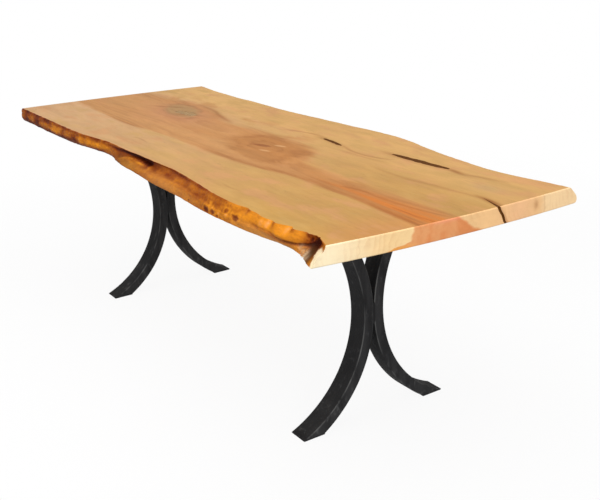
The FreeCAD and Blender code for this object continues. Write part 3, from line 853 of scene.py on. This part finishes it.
def waist_bead(pedestal_x, side, seed):
    """Upright bead in the groove between two legs, on one side of the pedestal."""
    draw = np.random.RandomState(seed)
    pitch, height, uneven = WAIST_WELD_RIPPLE
    rings = []
    for z in np.linspace(WAIST_HEIGHT - WAIST_WELD_REACH, WAIST_HEIGHT + WAIST_WELD_REACH, WAIST_WELD_LEVELS):
        taper = math.sqrt(max(1 - ((z - WAIST_HEIGHT) / (WAIST_WELD_REACH + 0.0005)) ** 4, 0))
        ripple = height * abs(math.sin((z + 0.0006) * math.pi / pitch)) + draw.uniform(-uneven, uneven)
        sink = WAIST_WELD_END_SINK * (1 - taper)
        half = WAIST_WELD_HALF_WIDTH + leg_y(z, TUBE_DEPTH)
        profile = []
        for t in np.linspace(-1, 1, WAIST_WELD_PROFILE_POINTS):
            crown = (1 - t * t) * (WAIST_WELD_CROWN * taper + ripple)
            profile.append((crown - WAIST_WELD_EDGE_SINK * t * t - sink, t * half))
        profile += [(-WAIST_WELD_DEPTH, half), (-WAIST_WELD_DEPTH, -half)]
        rings.append([(pedestal_x + side * (TUBE_WIDTH / 2 + out), y, z) for out, y in profile])
    return skin(rings)


def bolt_places(pedestal_x):
    columns = (-BOLT_COLUMN, 0, BOLT_COLUMN)
    return [(pedestal_x + row, column) for row in (-BOLT_ROW, BOLT_ROW) for column in columns]


def slot_loop(x, y, travel):
    """Slot across the slab, or a round hole without travel, as a loop that turns to the right."""
    loop = circle(x, y, HOLE_RADIUS, SLOT_POINTS)
    loop[:, 1] += np.where(np.arange(SLOT_POINTS) < SLOT_POINTS // 2, travel / 2, -travel / 2)
    return loop[::-1]


def bolt_mesh(x, y):
    """Shank, and a six-sided head with a washer face and a turned end."""
    seat = LEG_TOP - WASHER_THICKNESS
    end = seat - HEAD_HEIGHT
    angles = np.arange(BOLT_POINTS) * 2 * math.pi / BOLT_POINTS
    flat = HEAD_RADIUS * math.cos(math.pi / 6)
    hexagon = flat / np.cos((angles % (math.pi / 3)) - math.pi / 6)
    profile = (
        (seat + SHANK_LENGTH, BOLT_RADIUS), (seat, BOLT_RADIUS), (seat, flat * 0.96),
        (seat - 0.0004, flat * 0.96), (seat - 0.0005, hexagon), (end + 0.0011, hexagon),
        (end + 0.0004, np.minimum(hexagon, flat * 1.03)), (end, flat * 0.93), (end, flat * 0.5),
    )
    return skin([[(px, py, z) for px, py in circle(x, y, radius, BOLT_POINTS)] for z, radius in profile])


def pad_loop(x, side):
    """Outline of a floor pad, a little inside the foot above it."""
    toe = leg_y(PAD_THICKNESS, 0) - PAD_INSET
    heel = leg_y(PAD_THICKNESS, TUBE_DEPTH) + PAD_INSET
    middle, halves = side * (toe + heel) / 2, (TUBE_WIDTH / 2 - PAD_INSET, (toe - heel) / 2)
    return rounded_rectangle(x, middle, *halves, PAD_CORNER, PAD_CORNER_POINTS)


def pedestal(name, x):
    places = bolt_places(x)
    plate = [rounded_rectangle(x, 0, PLATE_WIDTH / 2, PLATE_LENGTH / 2, PLATE_CORNER, PLATE_CORNER_POINTS)]
    plate += [slot_loop(px, py, SLOT_TRAVEL if py else 0) for px, py in places]
    washers = []
    for place in places:
        rim, hole = (circle(*place, radius, WASHER_POINTS) for radius in (WASHER_RADIUS, HOLE_RADIUS))
        washers.append(prism([rim, hole[::-1]], LEG_TOP - WASHER_THICKNESS, LEG_TOP, WASHER_EASING))
    bolts = [bolt_mesh(*place) for place in places]
    top_beads = [top_weld(x, side, TOP_WELD_SEED + side) for side in LEG_SIDES.values()]
    waist_beads = [waist_bead(x, side, WAIST_WELD_SEED + side) for side in (-1, 1)]
    for piece, mesh, slot, node in (
        ("steel_plate", prism(plate, LEG_TOP, UNDERSIDE, PLATE_EASING), "powder_coat", "mounting_plate"),
        ("washers", joined(washers), "bolt_steel", "plate_washers"),
        ("bolts", joined(bolts), "bolt_steel", "plate_bolts"),
        ("top_beads", joined(top_beads), "powder_coat", "top_welds"),
        ("waist_beads", joined(waist_beads), "powder_coat", "waist_weld"),
    ):
        put(f"{name}_{piece}", mesh, slot, f"{name}_{node}")
    heights = leg_heights()
    sole_heights = np.linspace(PAD_THICKNESS, LEG_BOTTOM - FOOT_SEAM, SOLE_LEVELS)
    for side_name, side in LEG_SIDES.items():
        leg = f"{name}_{side_name}"
        tube, sole = (leg_mesh(x, side, levels) for levels in (heights, sole_heights))
        pad = prism([pad_loop(x, side)], 0.0, PAD_THICKNESS, PAD_EASING)
        put(f"{leg}_tube", tube, "powder_coat", f"{leg}_leg", attributes=coat_masks(len(heights)))
        put(f"{leg}_sole", sole, "powder_coat", f"{leg}_foot_plate")
        put(f"{leg}_rubber_pad", pad, "pad_rubber", f"{leg}_floor_pad")
    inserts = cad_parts[f"{name}_threaded_inserts"].data.materials
    inserts.clear()
    inserts.append(BRASS)


# Materials

class Wire:
    """A value in a material's node tree, with sums."""

    def __init__(self, graph, socket):
        self.graph = graph
        self.socket = socket


for sign, operation in (
    ("add", "ADD"), ("sub", "SUBTRACT"), ("mul", "MULTIPLY"), ("truediv", "DIVIDE"), ("pow", "POWER"),
):
    setattr(Wire, f"__{sign}__", lambda a, b, kind=operation: a.graph.math(kind, a, b))
    setattr(Wire, f"__r{sign}__", lambda a, b, kind=operation: a.graph.math(kind, b, a))


def light(colour):
    """Screen colour, 0 to 255, as light."""
    shares = [c / 255 for c in colour]
    return (*(c / 12.92 if c <= 0.04045 else ((c + 0.055) / 1.055) ** 2.4 for c in shares), 1)


class Nodes:
    """A node tree."""

    def __init__(self, tree):
        self.tree = tree

    def feed(self, node, inputs):
        for key, value in inputs.items():
            if isinstance(value, Wire):
                self.tree.links.new(value.socket, node.inputs[key])
            else:
                node.inputs[key].default_value = value

    def add(self, kind, inputs, output=0, **settings):
        """Adds a node and gives one of its outputs."""
        node = self.tree.nodes.new("ShaderNode" + kind)
        for key, value in settings.items():
            setattr(node, key, value)
        self.feed(node, inputs)
        return Wire(self, node.outputs[output])


class Graph(Nodes):
    """The nodes of one material. Lengths are metres in the frame of the part, colours are screen colours."""

    def __init__(self, name):
        self.material = bpy.data.materials.new(name)
        self.material.use_nodes = True
        super().__init__(self.material.node_tree)
        self.shader = self.tree.nodes["Principled BSDF"]
        self.place = self.add("TexCoord", {}, "Object")
        split = self.add("SeparateXYZ", {0: self.place}).socket.node
        self.x, self.y, self.z = (Wire(self, part) for part in split.outputs)

    def math(self, operation, a, b=0.0):
        return self.add("Math", {0: a, 1: b}, operation=operation)

    def stretch(self, scales, shift):
        """The place with each direction scaled, for noise that is long in one direction."""
        inputs = {0: self.place, 1: scales, 2: (shift, shift * 0.7, shift * 1.3)}
        return self.add("VectorMath", inputs, operation="MULTIPLY_ADD")

    def noise(self, scales, shift=0.0, detail=2.0, rough=0.5, distortion=0.0):
        inputs = {"Vector": self.stretch(scales, shift), "Scale": 1.0, "Detail": detail}
        inputs.update({"Roughness": rough, "Distortion": distortion})
        return self.add("TexNoise", inputs)

    def cells(self, scales, shift=0.0, feature="F1"):
        inputs = {"Vector": self.stretch(scales, shift), "Scale": 1.0}
        return self.add("TexVoronoi", inputs, "Distance", feature=feature)

    def step(self, low, high, value, low_to=0.0, high_to=1.0):
        """Smooth step from one value to another."""
        inputs = {"Value": value, "From Min": low, "From Max": high, "To Min": low_to, "To Max": high_to}
        return self.add("MapRange", inputs, interpolation_type="SMOOTHSTEP")

    def bell(self, value, reach):
        """One in the middle, falling to nothing at about twice the reach."""
        return self.math("EXPONENT", (value / reach) ** 2.0 * -1.0)

    def oval(self, centre, reach, turn):
        """Square of the distance from a place on the plan of the slab, one at the reach."""
        dx, dy = self.x - centre[0], self.y - centre[1]
        c, s = math.cos(turn), math.sin(turn)
        return ((dx * c + dy * s) / reach[0]) ** 2.0 + ((dy * c - dx * s) / reach[1]) ** 2.0

    def blob(self, centre, reach, turn=0.0):
        """An oval patch on the plan of the slab."""
        return self.math("EXPONENT", self.oval(centre, reach, turn) * -1.0)

    def curve(self, value, points):
        """Smooth curve through given points."""
        xs, ys = zip(*points)
        low_x, span_x = min(xs), max(xs) - min(xs)
        low_y, span_y = min(ys) - 0.01, max(ys) - min(ys) + 0.02
        made = self.add("FloatCurve", {"Value": (value - low_x) / span_x})
        mapping = made.socket.node.mapping
        line = mapping.curves[0].points
        while len(line) < len(points):
            line.new(0.5, 0.5)
        for knot, (px, py) in zip(line, sorted(points)):
            knot.location = ((px - low_x) / span_x, (py - low_y) / span_y)
        mapping.update()
        return made * span_y + low_y

    def mix(self, factor, a, b):
        a, b = (c if isinstance(c, Wire) else light(c) for c in (a, b))
        return self.add("Mix", {0: factor, 6: a, 7: b}, 2, data_type="RGBA")

    def layers(self, colour, *pairs):
        """Lays colours over the first one, each by its mask."""
        for mask, over in pairs:
            colour = self.mix(mask, colour, over)
        return colour

    def ramp(self, value, stops):
        made = self.add("ValToRGB", {0: value})
        line = made.socket.node.color_ramp.elements
        while len(line) < len(stops):
            line.new(0.5)
        for stop, (position, colour) in zip(line, stops):
            stop.position = position
            stop.color = light(colour)
        return made

    def attribute(self, name):
        return self.add("Attribute", {}, "Fac", attribute_name=name)

    def scaled(self, colour, factor):
        return self.add("VectorMath", {0: colour, "Scale": factor}, operation="SCALE")

    def finish(self, colour, rough, height=None, distance=None, **settings):
        """Feeds the shader. The height is a bump of a distance."""
        inputs = {"Base Color": colour, "Roughness": rough}
        if height is not None:
            bump = {"Height": height, "Distance": distance, "Strength": 1.0}
            inputs["Normal"] = self.add("Bump", bump)
        inputs.update({key.replace("_", " "): value for key, value in settings.items()})
        self.feed(self.shader, inputs)
        return self.material


# Where the heartwood begins on the plan, front and back
HEART_FRONT = (
    (-1.16, -0.172), (-0.86, -0.190), (-0.57, -0.200), (-0.33, -0.180), (-0.04, -0.170), (0.25, -0.162),
    (0.45, -0.138), (0.61, -0.120), (0.75, -0.122), (0.97, -0.128), (1.16, -0.152),
)
HEART_BACK = (
    (-1.16, 0.140), (-0.95, 0.150), (-0.70, 0.185), (-0.45, 0.156), (-0.31, 0.118), (-0.11, 0.132),
    (0.06, 0.126), (0.20, 0.130), (0.34, 0.070), (0.45, 0.000), (0.70, -0.010), (0.95, 0.002),
    (1.16, -0.006),
)
# The middle of the red heart on the plan
RED_COURSE = (
    (0.30, -0.090), (0.60, -0.090), (0.75, -0.070), (0.86, -0.073), (0.98, -0.077), (1.16, -0.066),
)
KNOT_PLACE = (-0.624, 0.080)
SWIRL = ((0.140, 0.010), (0.25, 0.115), -0.24)


class Wood:
    """Figure of the solid wood, the same on every face of the slab."""

    def __init__(self, g):
        self.g = g
        broad = g.noise((0.9, 2.6, 2.6))
        drift = g.noise((3.2, 11, 11), 7.0)
        bent = g.y + (broad - 0.5) * 0.05 + (drift - 0.5) * 0.016
        across = bent - g.curve(g.x, ((-1.16, 0.02), (-0.3, 0.02), (0.4, -0.02), (1.16, -0.06)))
        depth = g.z - (TOP - 0.10) + (g.noise((0.9, 0.3, 0.3), 3.0, 1) - 0.5) * 0.10
        distance = g.math("SQRT", across ** 2.0 + depth ** 2.0)
        field = distance + g.blob(KNOT_PLACE, (0.17, 0.075), 0.10) * 0.055 + g.blob(*SWIRL) * 0.040
        unsteady = g.noise((1.3, 9, 9), 11.0, 4, 0.55)
        ring = g.math("FRACT", field * 58.0 + unsteady * 4.5)
        faint = g.noise((1.7, 13, 13), 47.0)
        self.ring = g.step(0.20, 0.93, ring) * g.step(1.0, 0.90, ring) * g.step(0.38, 0.66, faint)
        self.patch = g.noise((1.1, 5, 5), 19.0)
        self.curl = g.noise((5.0, 15, 15), 31.0, 3, 0.55, 0.8)
        self.streak = g.noise((1.3, 30, 30), 5.0, 5, 0.62)
        self.fibre = g.noise((7, 330, 330), 23.0, 3, 0.6)
        self.pore = g.step(0.64, 0.74, g.noise((30, 800, 800), 29.0, 1))
        self.rim = (g.noise((2.6, 24, 24), 13.0, 4, 0.6) - 0.5) * 0.05
        self.from_front = g.y - g.curve(g.x, HEART_FRONT) + self.rim
        from_back = g.curve(g.x, HEART_BACK) - g.y + self.rim * 1.6
        self.heart = g.step(-0.006, 0.014, self.from_front) * g.step(-0.030, 0.035, from_back)

    def line(self, points, width, fade=0.06):
        """A thin streak along a course on the plan, fading at both ends."""
        g, first, last = self.g, points[0][0], points[-1][0]
        wander = (g.noise((5, 10, 10), first * 9) - 0.5) * 0.012
        ends = g.step(first - fade, first + fade, g.x) * g.step(last + fade, last - fade, g.x)
        return g.bell(g.y - g.curve(g.x, points) + wander, width) * ends


# Streaks on the top: course, half width and strength
STREAKS = (
    (((-0.06, 0.198), (0.02, 0.238), (0.11, 0.250), (0.20, 0.234),
      (0.29, 0.225), (0.42, 0.205), (0.505, 0.216), (0.56, 0.255)), 0.007, 0.38),
    (((0.46, 0.275), (0.59, 0.280), (0.68, 0.286), (0.78, 0.297)), 0.016, 0.46),
    (((0.74, 0.292), (0.83, 0.290), (0.90, 0.305), (0.97, 0.318)), 0.009, 0.34),
    (((0.60, 0.134), (0.74, 0.126), (0.85, 0.138),
      (0.945, 0.146), (1.04, 0.158), (1.10, 0.156)), 0.009, 0.26),
    (((1.035, 0.164), (1.07, 0.1625), (1.15, 0.146)), 0.012, 0.85),
    (((0.755, 0.296), (0.795, 0.291), (0.840, 0.287)), 0.012, 0.80),
    (((0.34, 0.182), (0.45, 0.187), (0.57, 0.196)), 0.008, 0.22),
    (((0.12, 0.240), (0.22, 0.230), (0.31, 0.221)), 0.013, 0.45),
    (((0.70, -0.083), (0.76, -0.053), (0.86, -0.053), (0.98, -0.046), (1.13, -0.018)), 0.006, 0.35),
    (((-0.68, 0.192), (-0.56, 0.180), (-0.45, 0.150), (-0.31, 0.121)), 0.010, 0.45),
    (((-0.81, 0.042), (-0.77, 0.062), (-0.735, 0.088), (-0.69, 0.114)), 0.009, 0.55),
    (((-0.60, 0.040), (-0.55, 0.056), (-0.50, 0.086)), 0.009, 0.55),
    (((-0.66, -0.196), (-0.57, -0.192), (-0.47, -0.184)), 0.009, 0.40),
    (((-0.31, -0.266), (-0.27, -0.264), (-0.22, -0.268)), 0.004, 0.40),
    (((0.78, -0.100), (0.95, -0.110), (1.12, -0.104)), 0.010, 0.30),
    (((0.84, -0.036), (0.97, -0.024), (1.13, -0.004)), 0.010, 0.26),
    (((0.46, -0.322), (0.49, -0.325), (0.53, -0.324)), 0.004, 0.35),
)


def face_wood():
    """Planed and lacquered faces of the slab."""
    g = Graph("slab_face")
    w = Wood(g)
    tint = g.noise((7, 15, 15), 53.0, 3, 0.55)
    golden = g.step(0.45, 0.80, g.x) * g.step(-0.28, -0.38, g.y + w.rim)
    sap = g.layers(
        g.mix(g.step(-1.0, 0.9, g.x), (212, 167, 120), (196, 149, 83)),
        (g.step(0.06, 0.28, g.y), g.mix(g.step(-0.75, -0.25, g.x), (223, 175, 110), (213, 165, 101))),
        (g.step(0.92, 1.12, g.x) * g.step(-0.05, -0.15, g.y) * 0.8, (204, 142, 80)),
        (golden * 0.5, (200, 154, 74)),
        (g.step(0.50, 0.68, tint) * 0.60, (210, 152, 102)),
        (g.step(0.50, 0.32, tint) * 0.55, (201, 158, 92)),
    )
    red_width = g.step(0.72, 1.10, g.x, 0.020, 0.056)
    red = g.bell(g.y - g.curve(g.x, RED_COURSE) + w.rim * 0.4, red_width) * g.step(0.45, 0.90, g.x)
    heart = g.layers(
        g.mix(g.step(0.35, 0.65, w.patch), (204, 148, 91), (192, 132, 74)),
        (g.step(0.50, 0.75, tint) * 0.5, (204, 142, 90)),
        (red * g.step(0.30, 0.60, w.streak + red * 0.08) * 0.95, (207, 121, 46)),
        (red * g.step(0.56, 0.70, g.noise((3, 70, 70), 83.0, 3, 0.6)) * 0.55, (160, 86, 30)),
    )
    stray = g.step(0.52, 0.66, g.noise((5, 13, 13), 61.0, 3, 0.6)) * g.step(0.32, 0.18, g.y)
    stray = stray * g.step(0.25, 0.05, g.x) * g.step(0.0, 0.1, g.y) * 0.7
    # The swirl: dark loops round an eye, with pale crescents between them
    curl = w.curl - 0.5
    span = g.math("SQRT", g.oval(*SWIRL)) + curl * 0.9
    loops = g.bell(span - 0.36, 0.06) * 0.5 + g.bell(span - 0.78, 0.10) * 0.45
    lobe = g.blob((0.285, 0.060), (0.060, 0.034), 0.2) + curl * 0.3
    eye = g.blob((0.100, 0.018), (0.052, 0.016), 0.28) + curl * 0.4
    pale = g.blob((0.154, 0.060), (0.034, 0.010), 0.30) + g.blob((0.172, -0.014), (0.034, 0.009), 0.25)
    pale = pale + g.blob((-0.354, 0.222), (0.030, 0.010), 0.2) + g.blob((-0.266, 0.209), (0.030, 0.010), 0.2)
    # The knot, and the streaks
    lens = g.blob((-0.640, 0.080), (0.150, 0.066), -0.19)
    ragged = lens + (g.noise((12, 26, 26), 41.0, 3) - 0.5) * 0.34
    marks = g.bell(w.from_front - 0.016, 0.015) * g.step(-0.25, 0.15, g.x)
    marks = marks * g.step(0.25, 0.60, w.streak) * 0.50
    for points, width, strength in STREAKS:
        marks = g.math("MAXIMUM", marks, w.line(points, width) * strength)
    wood = g.layers(
        sap,
        (g.math("MAXIMUM", w.heart, stray), heart),
        (g.step(1.25, 0.60, span) * 0.70, (184, 122, 63)),
        (loops * g.step(0.38, 0.60, tint), (158, 98, 46)),
        (g.step(0.25, 0.70, lobe) * 0.5, (168, 108, 56)),
        (g.step(0.30, 0.75, eye) * 0.8, (146, 84, 38)),
        (g.step(0.35, 0.80, pale) * 0.55, (226, 176, 122)),
        (g.blob((-0.60, 0.050), (0.23, 0.11), -0.10) * 0.60, (202, 138, 102)),
        (g.step(0.26, 0.62, ragged) * 0.85, (177, 139, 91)),
        (g.bell(ragged - 0.36, 0.10) * g.step(0.35, 0.65, w.curl) * 0.5, (132, 92, 54)),
        (g.blob((0.99, 0.24), (0.06, 0.03)) * 0.35, (176, 158, 108)),
        (w.ring * (0.06 + w.heart * 0.24), (156, 96, 48)),
        (marks, (142, 80, 26)),
    )
    dash = g.step(0.66, 0.78, g.noise((20, 130, 130), 71.0))
    shade = 0.94 + (w.streak - 0.5) * 0.20 + curl * 0.32 + (w.fibre - 0.5) * 0.10
    wood = g.scaled(wood, shade - w.pore * 0.08 - dash * 0.14)
    rough = 0.42 + w.fibre * 0.14 + w.pore * 0.15
    height = w.fibre * 0.35 - w.pore * 0.6 - w.ring * 0.2
    return g.finish(wood, rough, height, 0.0002, Specular_IOR_Level=0.14)


def end_wood():
    """Sawn ends, where the pores and rings are cut across."""
    g = Graph("end_grain")
    w = Wood(g)
    deep = (TOP - g.z) / THICKNESS
    rough_line = (g.noise((4, 22, 34), 5.0, 3) - 0.5) * 0.05
    foot = g.step(0.66, 0.98, deep + rough_line * 2.0)
    front = g.step(-0.006, 0.006, g.y + 0.145 + deep * 0.020 + foot * 0.060 + rough_line)
    back = g.step(0.010, -0.010, g.y - 0.001 - deep * 0.080 + rough_line)
    sap = g.layers(
        g.mix(g.step(-0.42, -0.20, g.y), (250, 232, 194), (244, 208, 152)),
        (g.step(-0.10, 0.10, g.y), (241, 194, 138)),
        (g.bell(g.y - 0.215, 0.055) * 0.7, (244, 190, 142)),
        (g.step(0.29, 0.33, g.y + rough_line), (250, 214, 164)),
    )
    heart = g.layers(
        g.mix(g.step(0.35, 0.65, w.curl), (222, 140, 84), (226, 158, 104)),
        (g.bell(deep - 0.06, 0.10) * g.step(-0.12, -0.04, g.y) * 0.5, (236, 148, 116)),
        (foot * g.step(-0.12, -0.18, g.y) * 0.8, (238, 164, 74)),
    )
    seam = g.bell(g.y - 0.318 + rough_line, 0.004) + g.bell(g.y + 0.305 + rough_line, 0.003) * 0.6
    stain = g.bell(g.y - 0.1405 - deep * 0.0300 + rough_line * 0.1, 0.008) * 0.55
    stain = stain + g.bell(g.y - 0.280 + rough_line * 0.4, 0.008) * g.bell(deep - 0.42, 0.26) * 0.5
    wood = g.layers(
        sap,
        (front * back, heart),
        (w.ring * 0.14, (200, 124, 66)),
        (seam * 0.25, (190, 130, 80)),
        (stain, (160, 98, 52)),
    )
    ray = g.noise((60, 26, 70), 3.0, 4, 0.6)
    pores = g.step(0.30, 0.12, g.cells((420, 420, 420)))
    wood = g.scaled(wood, 1.0 + (ray - 0.5) * 0.16 + (w.curl - 0.5) * 0.14 - pores * 0.10)
    return g.finish(wood, 0.50 + ray * 0.15, ray * 0.4 - pores, 0.0002, Specular_IOR_Level=0.20)


def edge_wood():
    """Lacquered natural edge: amber over a lumpy, streaky surface."""
    g = Graph("live_edge")
    # The first attribute holds the edge's colour values, with painted shade in its hollows and painted
    # highlights on its bumps
    tone_and_painted_light, sawn = g.attribute("tone_and_painted_light"), g.attribute("sawn")
    flow = g.noise((9, 45, 60), 3.0, 4, 0.6, 0.6)
    blotch = g.noise((18, 50, 50), 17.0, 3, 0.55)
    speck = g.noise((90, 190, 190), 27.0, 3, 0.6)
    colour = g.ramp(tone_and_painted_light + (flow - 0.5) * 0.26 + (blotch - 0.5) * 0.26, (
        (0.0, (56, 14, 4)), (0.15, (88, 30, 6)), (0.30, (130, 58, 10)), (0.45, (169, 94, 22)),
        (0.58, (200, 121, 27)), (0.72, (220, 136, 30)), (0.86, (230, 150, 74)), (1.0, (242, 186, 134)),
    ))
    # Low on the front edge: yellow under the gouge, tan beside it, peach by the ledge, dark at the corner
    low = g.step(0.736, 0.716, g.z) * g.step(0.0, -0.1, g.y)
    colour = g.layers(
        colour,
        (low * g.bell(g.x + 0.12, 0.10) * 0.55, (182, 126, 46)),
        (low * g.bell(g.x - 0.22, 0.20) * 0.6, (176, 118, 62)),
        (low * g.bell(g.x - 0.83, 0.13) * blotch * 0.9, (212, 150, 84)),
        (low * g.bell(g.x - 1.045, 0.030) * (flow + 0.25), (76, 46, 16)),
    )
    clean = g.mix(speck, (240, 216, 168), (252, 236, 200))
    colour = g.mix(sawn, g.scaled(colour, 1.0 + (speck - 0.5) * 0.5), clean)
    gloss = {"Specular_IOR_Level": 0.05, "Coat_Weight": 0.03, "Coat_Roughness": 0.15}
    return g.finish(colour, 0.34 + blotch * 0.16 + sawn * 0.15, speck * 0.6 + flow, 0.0010, **gloss)


def dark_resin():
    g = Graph("dark_resin")
    cloud = g.noise((60, 160, 160), 0.0, 4, 0.6)
    flake = g.step(0.60, 0.72, g.noise((140, 420, 420), 9.0))
    colour = g.mix(flake * 0.4, g.mix(cloud, (72, 40, 14), (108, 66, 26)), (132, 88, 42))
    return g.finish(colour, 0.42 + cloud * 0.16, cloud, 0.0004, Specular_IOR_Level=0.02)


def knot_resin():
    g = Graph("knot_resin")
    dx, dy = g.x + 0.585, (g.y - 0.070) * 2.4
    rings = g.math("SQRT", dx * dx + dy * dy) * 260.0 + g.noise((40, 80, 80), 0.0, 3) * 5.0
    ring = g.math("FRACT", rings)
    cloud = g.noise((35, 80, 80), 5.0, 4, 0.6)
    colour = g.mix(cloud, (150, 118, 74), (188, 150, 100))
    colour = g.mix(g.step(0.55, 1.0, ring) * 0.35, colour, (126, 92, 56))
    return g.finish(colour, 0.22 + cloud * 0.1, ring * 0.3 + cloud, 0.0004, Specular_IOR_Level=0.05)


def powder_coat():
    """Black textured coat, scuffed in patches, at the feet and most along the corners of the legs, with a
    painted highlight along the corners and painted light on the narrow flanks.
    """
    g = Graph("powder_coat")
    grain = g.noise((700, 700, 700), 0.0, 2, 0.6)
    hammer = g.cells((110, 110, 110), 3.0, "SMOOTH_F1")
    cloud = g.noise((16, 16, 16), 7.0, 4, 0.6)
    scuff = g.step(0.54, 0.72, g.noise((60, 60, 28), 9.0, 4, 0.65))
    drawn = g.noise((30, 30, 5), 13.0, 3, 0.6)
    colour = g.layers(
        g.mix(cloud, (20, 20, 21), (44, 44, 45)),
        # Painted light: the narrow flanks lighter, as the sides that take more light
        (g.attribute("painted_flank_light") * g.step(0.34, 0.66, drawn), (48, 48, 49)),
        (g.step(0.26, 0.0, g.z) * cloud * 0.4, (66, 66, 66)),
        (scuff * (0.30 + g.step(0.16, 0.0, g.z) * 0.45), (84, 84, 84)),
        # Worn corners, lighter also as a painted highlight along them
        (g.attribute("corner_wear_and_highlight") * g.step(0.36, 0.70, drawn) * 0.8, (104, 104, 103)),
    )
    rough = 0.50 + cloud * 0.16 - scuff * 0.08
    height = grain * 0.35 + hammer * 1.1 + cloud * 0.8
    return g.finish(colour, rough, height, 0.0010, Specular_IOR_Level=0.10)


def cloudy(name, scales, dark, pale, rough, rougher, bump=None, **settings):
    """Plain finish: clouds between two colours that also change the roughness, and the bump if it has one."""
    g = Graph(name)
    cloud = g.noise(scales, 0.0, 3)
    height = cloud if bump else None
    return g.finish(g.mix(cloud, dark, pale), rough + cloud * rougher, height, bump, **settings)


def zinc():
    g = Graph("zinc_steel")
    cloud = g.noise((300, 300, 300), 0.0, 3)
    scratch = g.noise((1500, 200, 900), 3.0)
    colour = g.mix(cloud, (168, 170, 172), (206, 206, 204))
    return g.finish(colour, 0.26 + cloud * 0.18, scratch, 0.0001, Metallic=1.0)


def floor_paint():
    """Pale floor that fades into the white backdrop."""
    g = Graph("studio_floor")
    material = g.finish(0.86 + g.noise((2, 2, 2), 0.0, 3) * 0.04, 0.9)
    fade = g.step(1.4, 3.2, g.math("SQRT", g.x * g.x + g.y * g.y), 0.92, 1.0)
    paint, clear = Wire(g, g.shader.outputs[0]), g.add("BsdfTransparent", {})
    mixed = g.add("MixShader", {0: fade, 1: paint, 2: clear})
    g.feed(g.tree.nodes["Material Output"], {0: mixed})
    return material


# Materials of each slot
MATERIALS = {
    "slab_wood": (
        face_wood(), edge_wood(), end_wood(),
        cloudy("pocket_wall", (20, 200, 200), (52, 28, 14), (92, 52, 26), 0.7, 0.0, 0.0003),
    ),
    "check_resin": (dark_resin(),),
    "knot_resin": (knot_resin(),),
    "powder_coat": (powder_coat(),),
    "bolt_steel": (zinc(),),
    "pad_rubber": (cloudy("pad_rubber", (900, 900, 900), (22, 22, 23), (44, 44, 45), 0.78, 0.12, 0.0003),),
}
BRASS = cloudy("insert_brass", (260, 260, 260), (176, 138, 66), (214, 178, 98), 0.28, 0.15, Metallic=1.0)


# Stage

def stage():
    mesh = bpy.data.meshes.new("studio_floor")
    corners = [(sx * FLOOR_REACH, sy * FLOOR_REACH, 0) for sx, sy in ((-1, -1), (1, -1), (1, 1), (-1, 1))]
    mesh.from_pydata(corners, [], [(0, 1, 2, 3)])
    mesh.materials.append(floor_paint())
    floor = add_object("studio_floor", mesh)
    for name, (place, target, size, power) in LAMPS.items():
        lamp = bpy.data.lights.new(name, "AREA")
        lamp.shape = "RECTANGLE"
        lamp.size, lamp.size_y = size
        lamp.energy = power
        thing = add_object(name, lamp)
        thing.location = place
        thing.rotation_euler = (Vector(target) - Vector(place)).to_track_quat("-Z", "Y").to_euler()
    world = bpy.data.worlds.new("studio")
    bpy.context.scene.world = world
    world.use_nodes = True
    nodes = Nodes(world.node_tree)
    nodes.tree.nodes.clear()
    white = [
        nodes.add("Background", {"Color": (1, 1, 1, 1), "Strength": strength})
        for strength in (WORLD_LIGHT, WORLD_SEEN)
    ]
    by_camera = nodes.add("LightPath", {}, "Is Camera Ray")
    mixed = nodes.add("MixShader", {0: by_camera, 1: white[0], 2: white[1]})
    nodes.feed(nodes.tree.nodes.new("ShaderNodeOutputWorld"), {0: mixed})


def camera():
    cy, sy = math.cos(CAMERA_YAW), math.sin(CAMERA_YAW)
    cp, sp = math.cos(CAMERA_PITCH), math.sin(CAMERA_PITCH)
    cr, sr = math.cos(CAMERA_ROLL), math.sin(CAMERA_ROLL)
    forward = Vector((cy * cp, sy * cp, -sp))
    level = Vector((sy, -cy, 0))
    below = forward.cross(level)
    right, down = cr * level + sr * below, cr * below - sr * level
    lens = bpy.data.cameras.new("photo_camera")
    lens.lens = CAMERA_LENS
    lens.sensor_width = CAMERA_SENSOR
    lens.shift_x, lens.shift_y = CAMERA_SHIFT
    thing = add_object("photo_camera", lens)
    turn = Matrix((right, -down, -forward)).transposed().to_4x4()
    thing.matrix_world = Matrix.Translation(CAMERA_PLACE) @ turn
    bpy.context.scene.camera = thing


slab_and_fills()
for pedestal_name, pedestal_x in PEDESTALS.items():
    pedestal(pedestal_name, pedestal_x)
stage()
camera()
bpy.context.scene.view_settings.view_transform = "Standard"
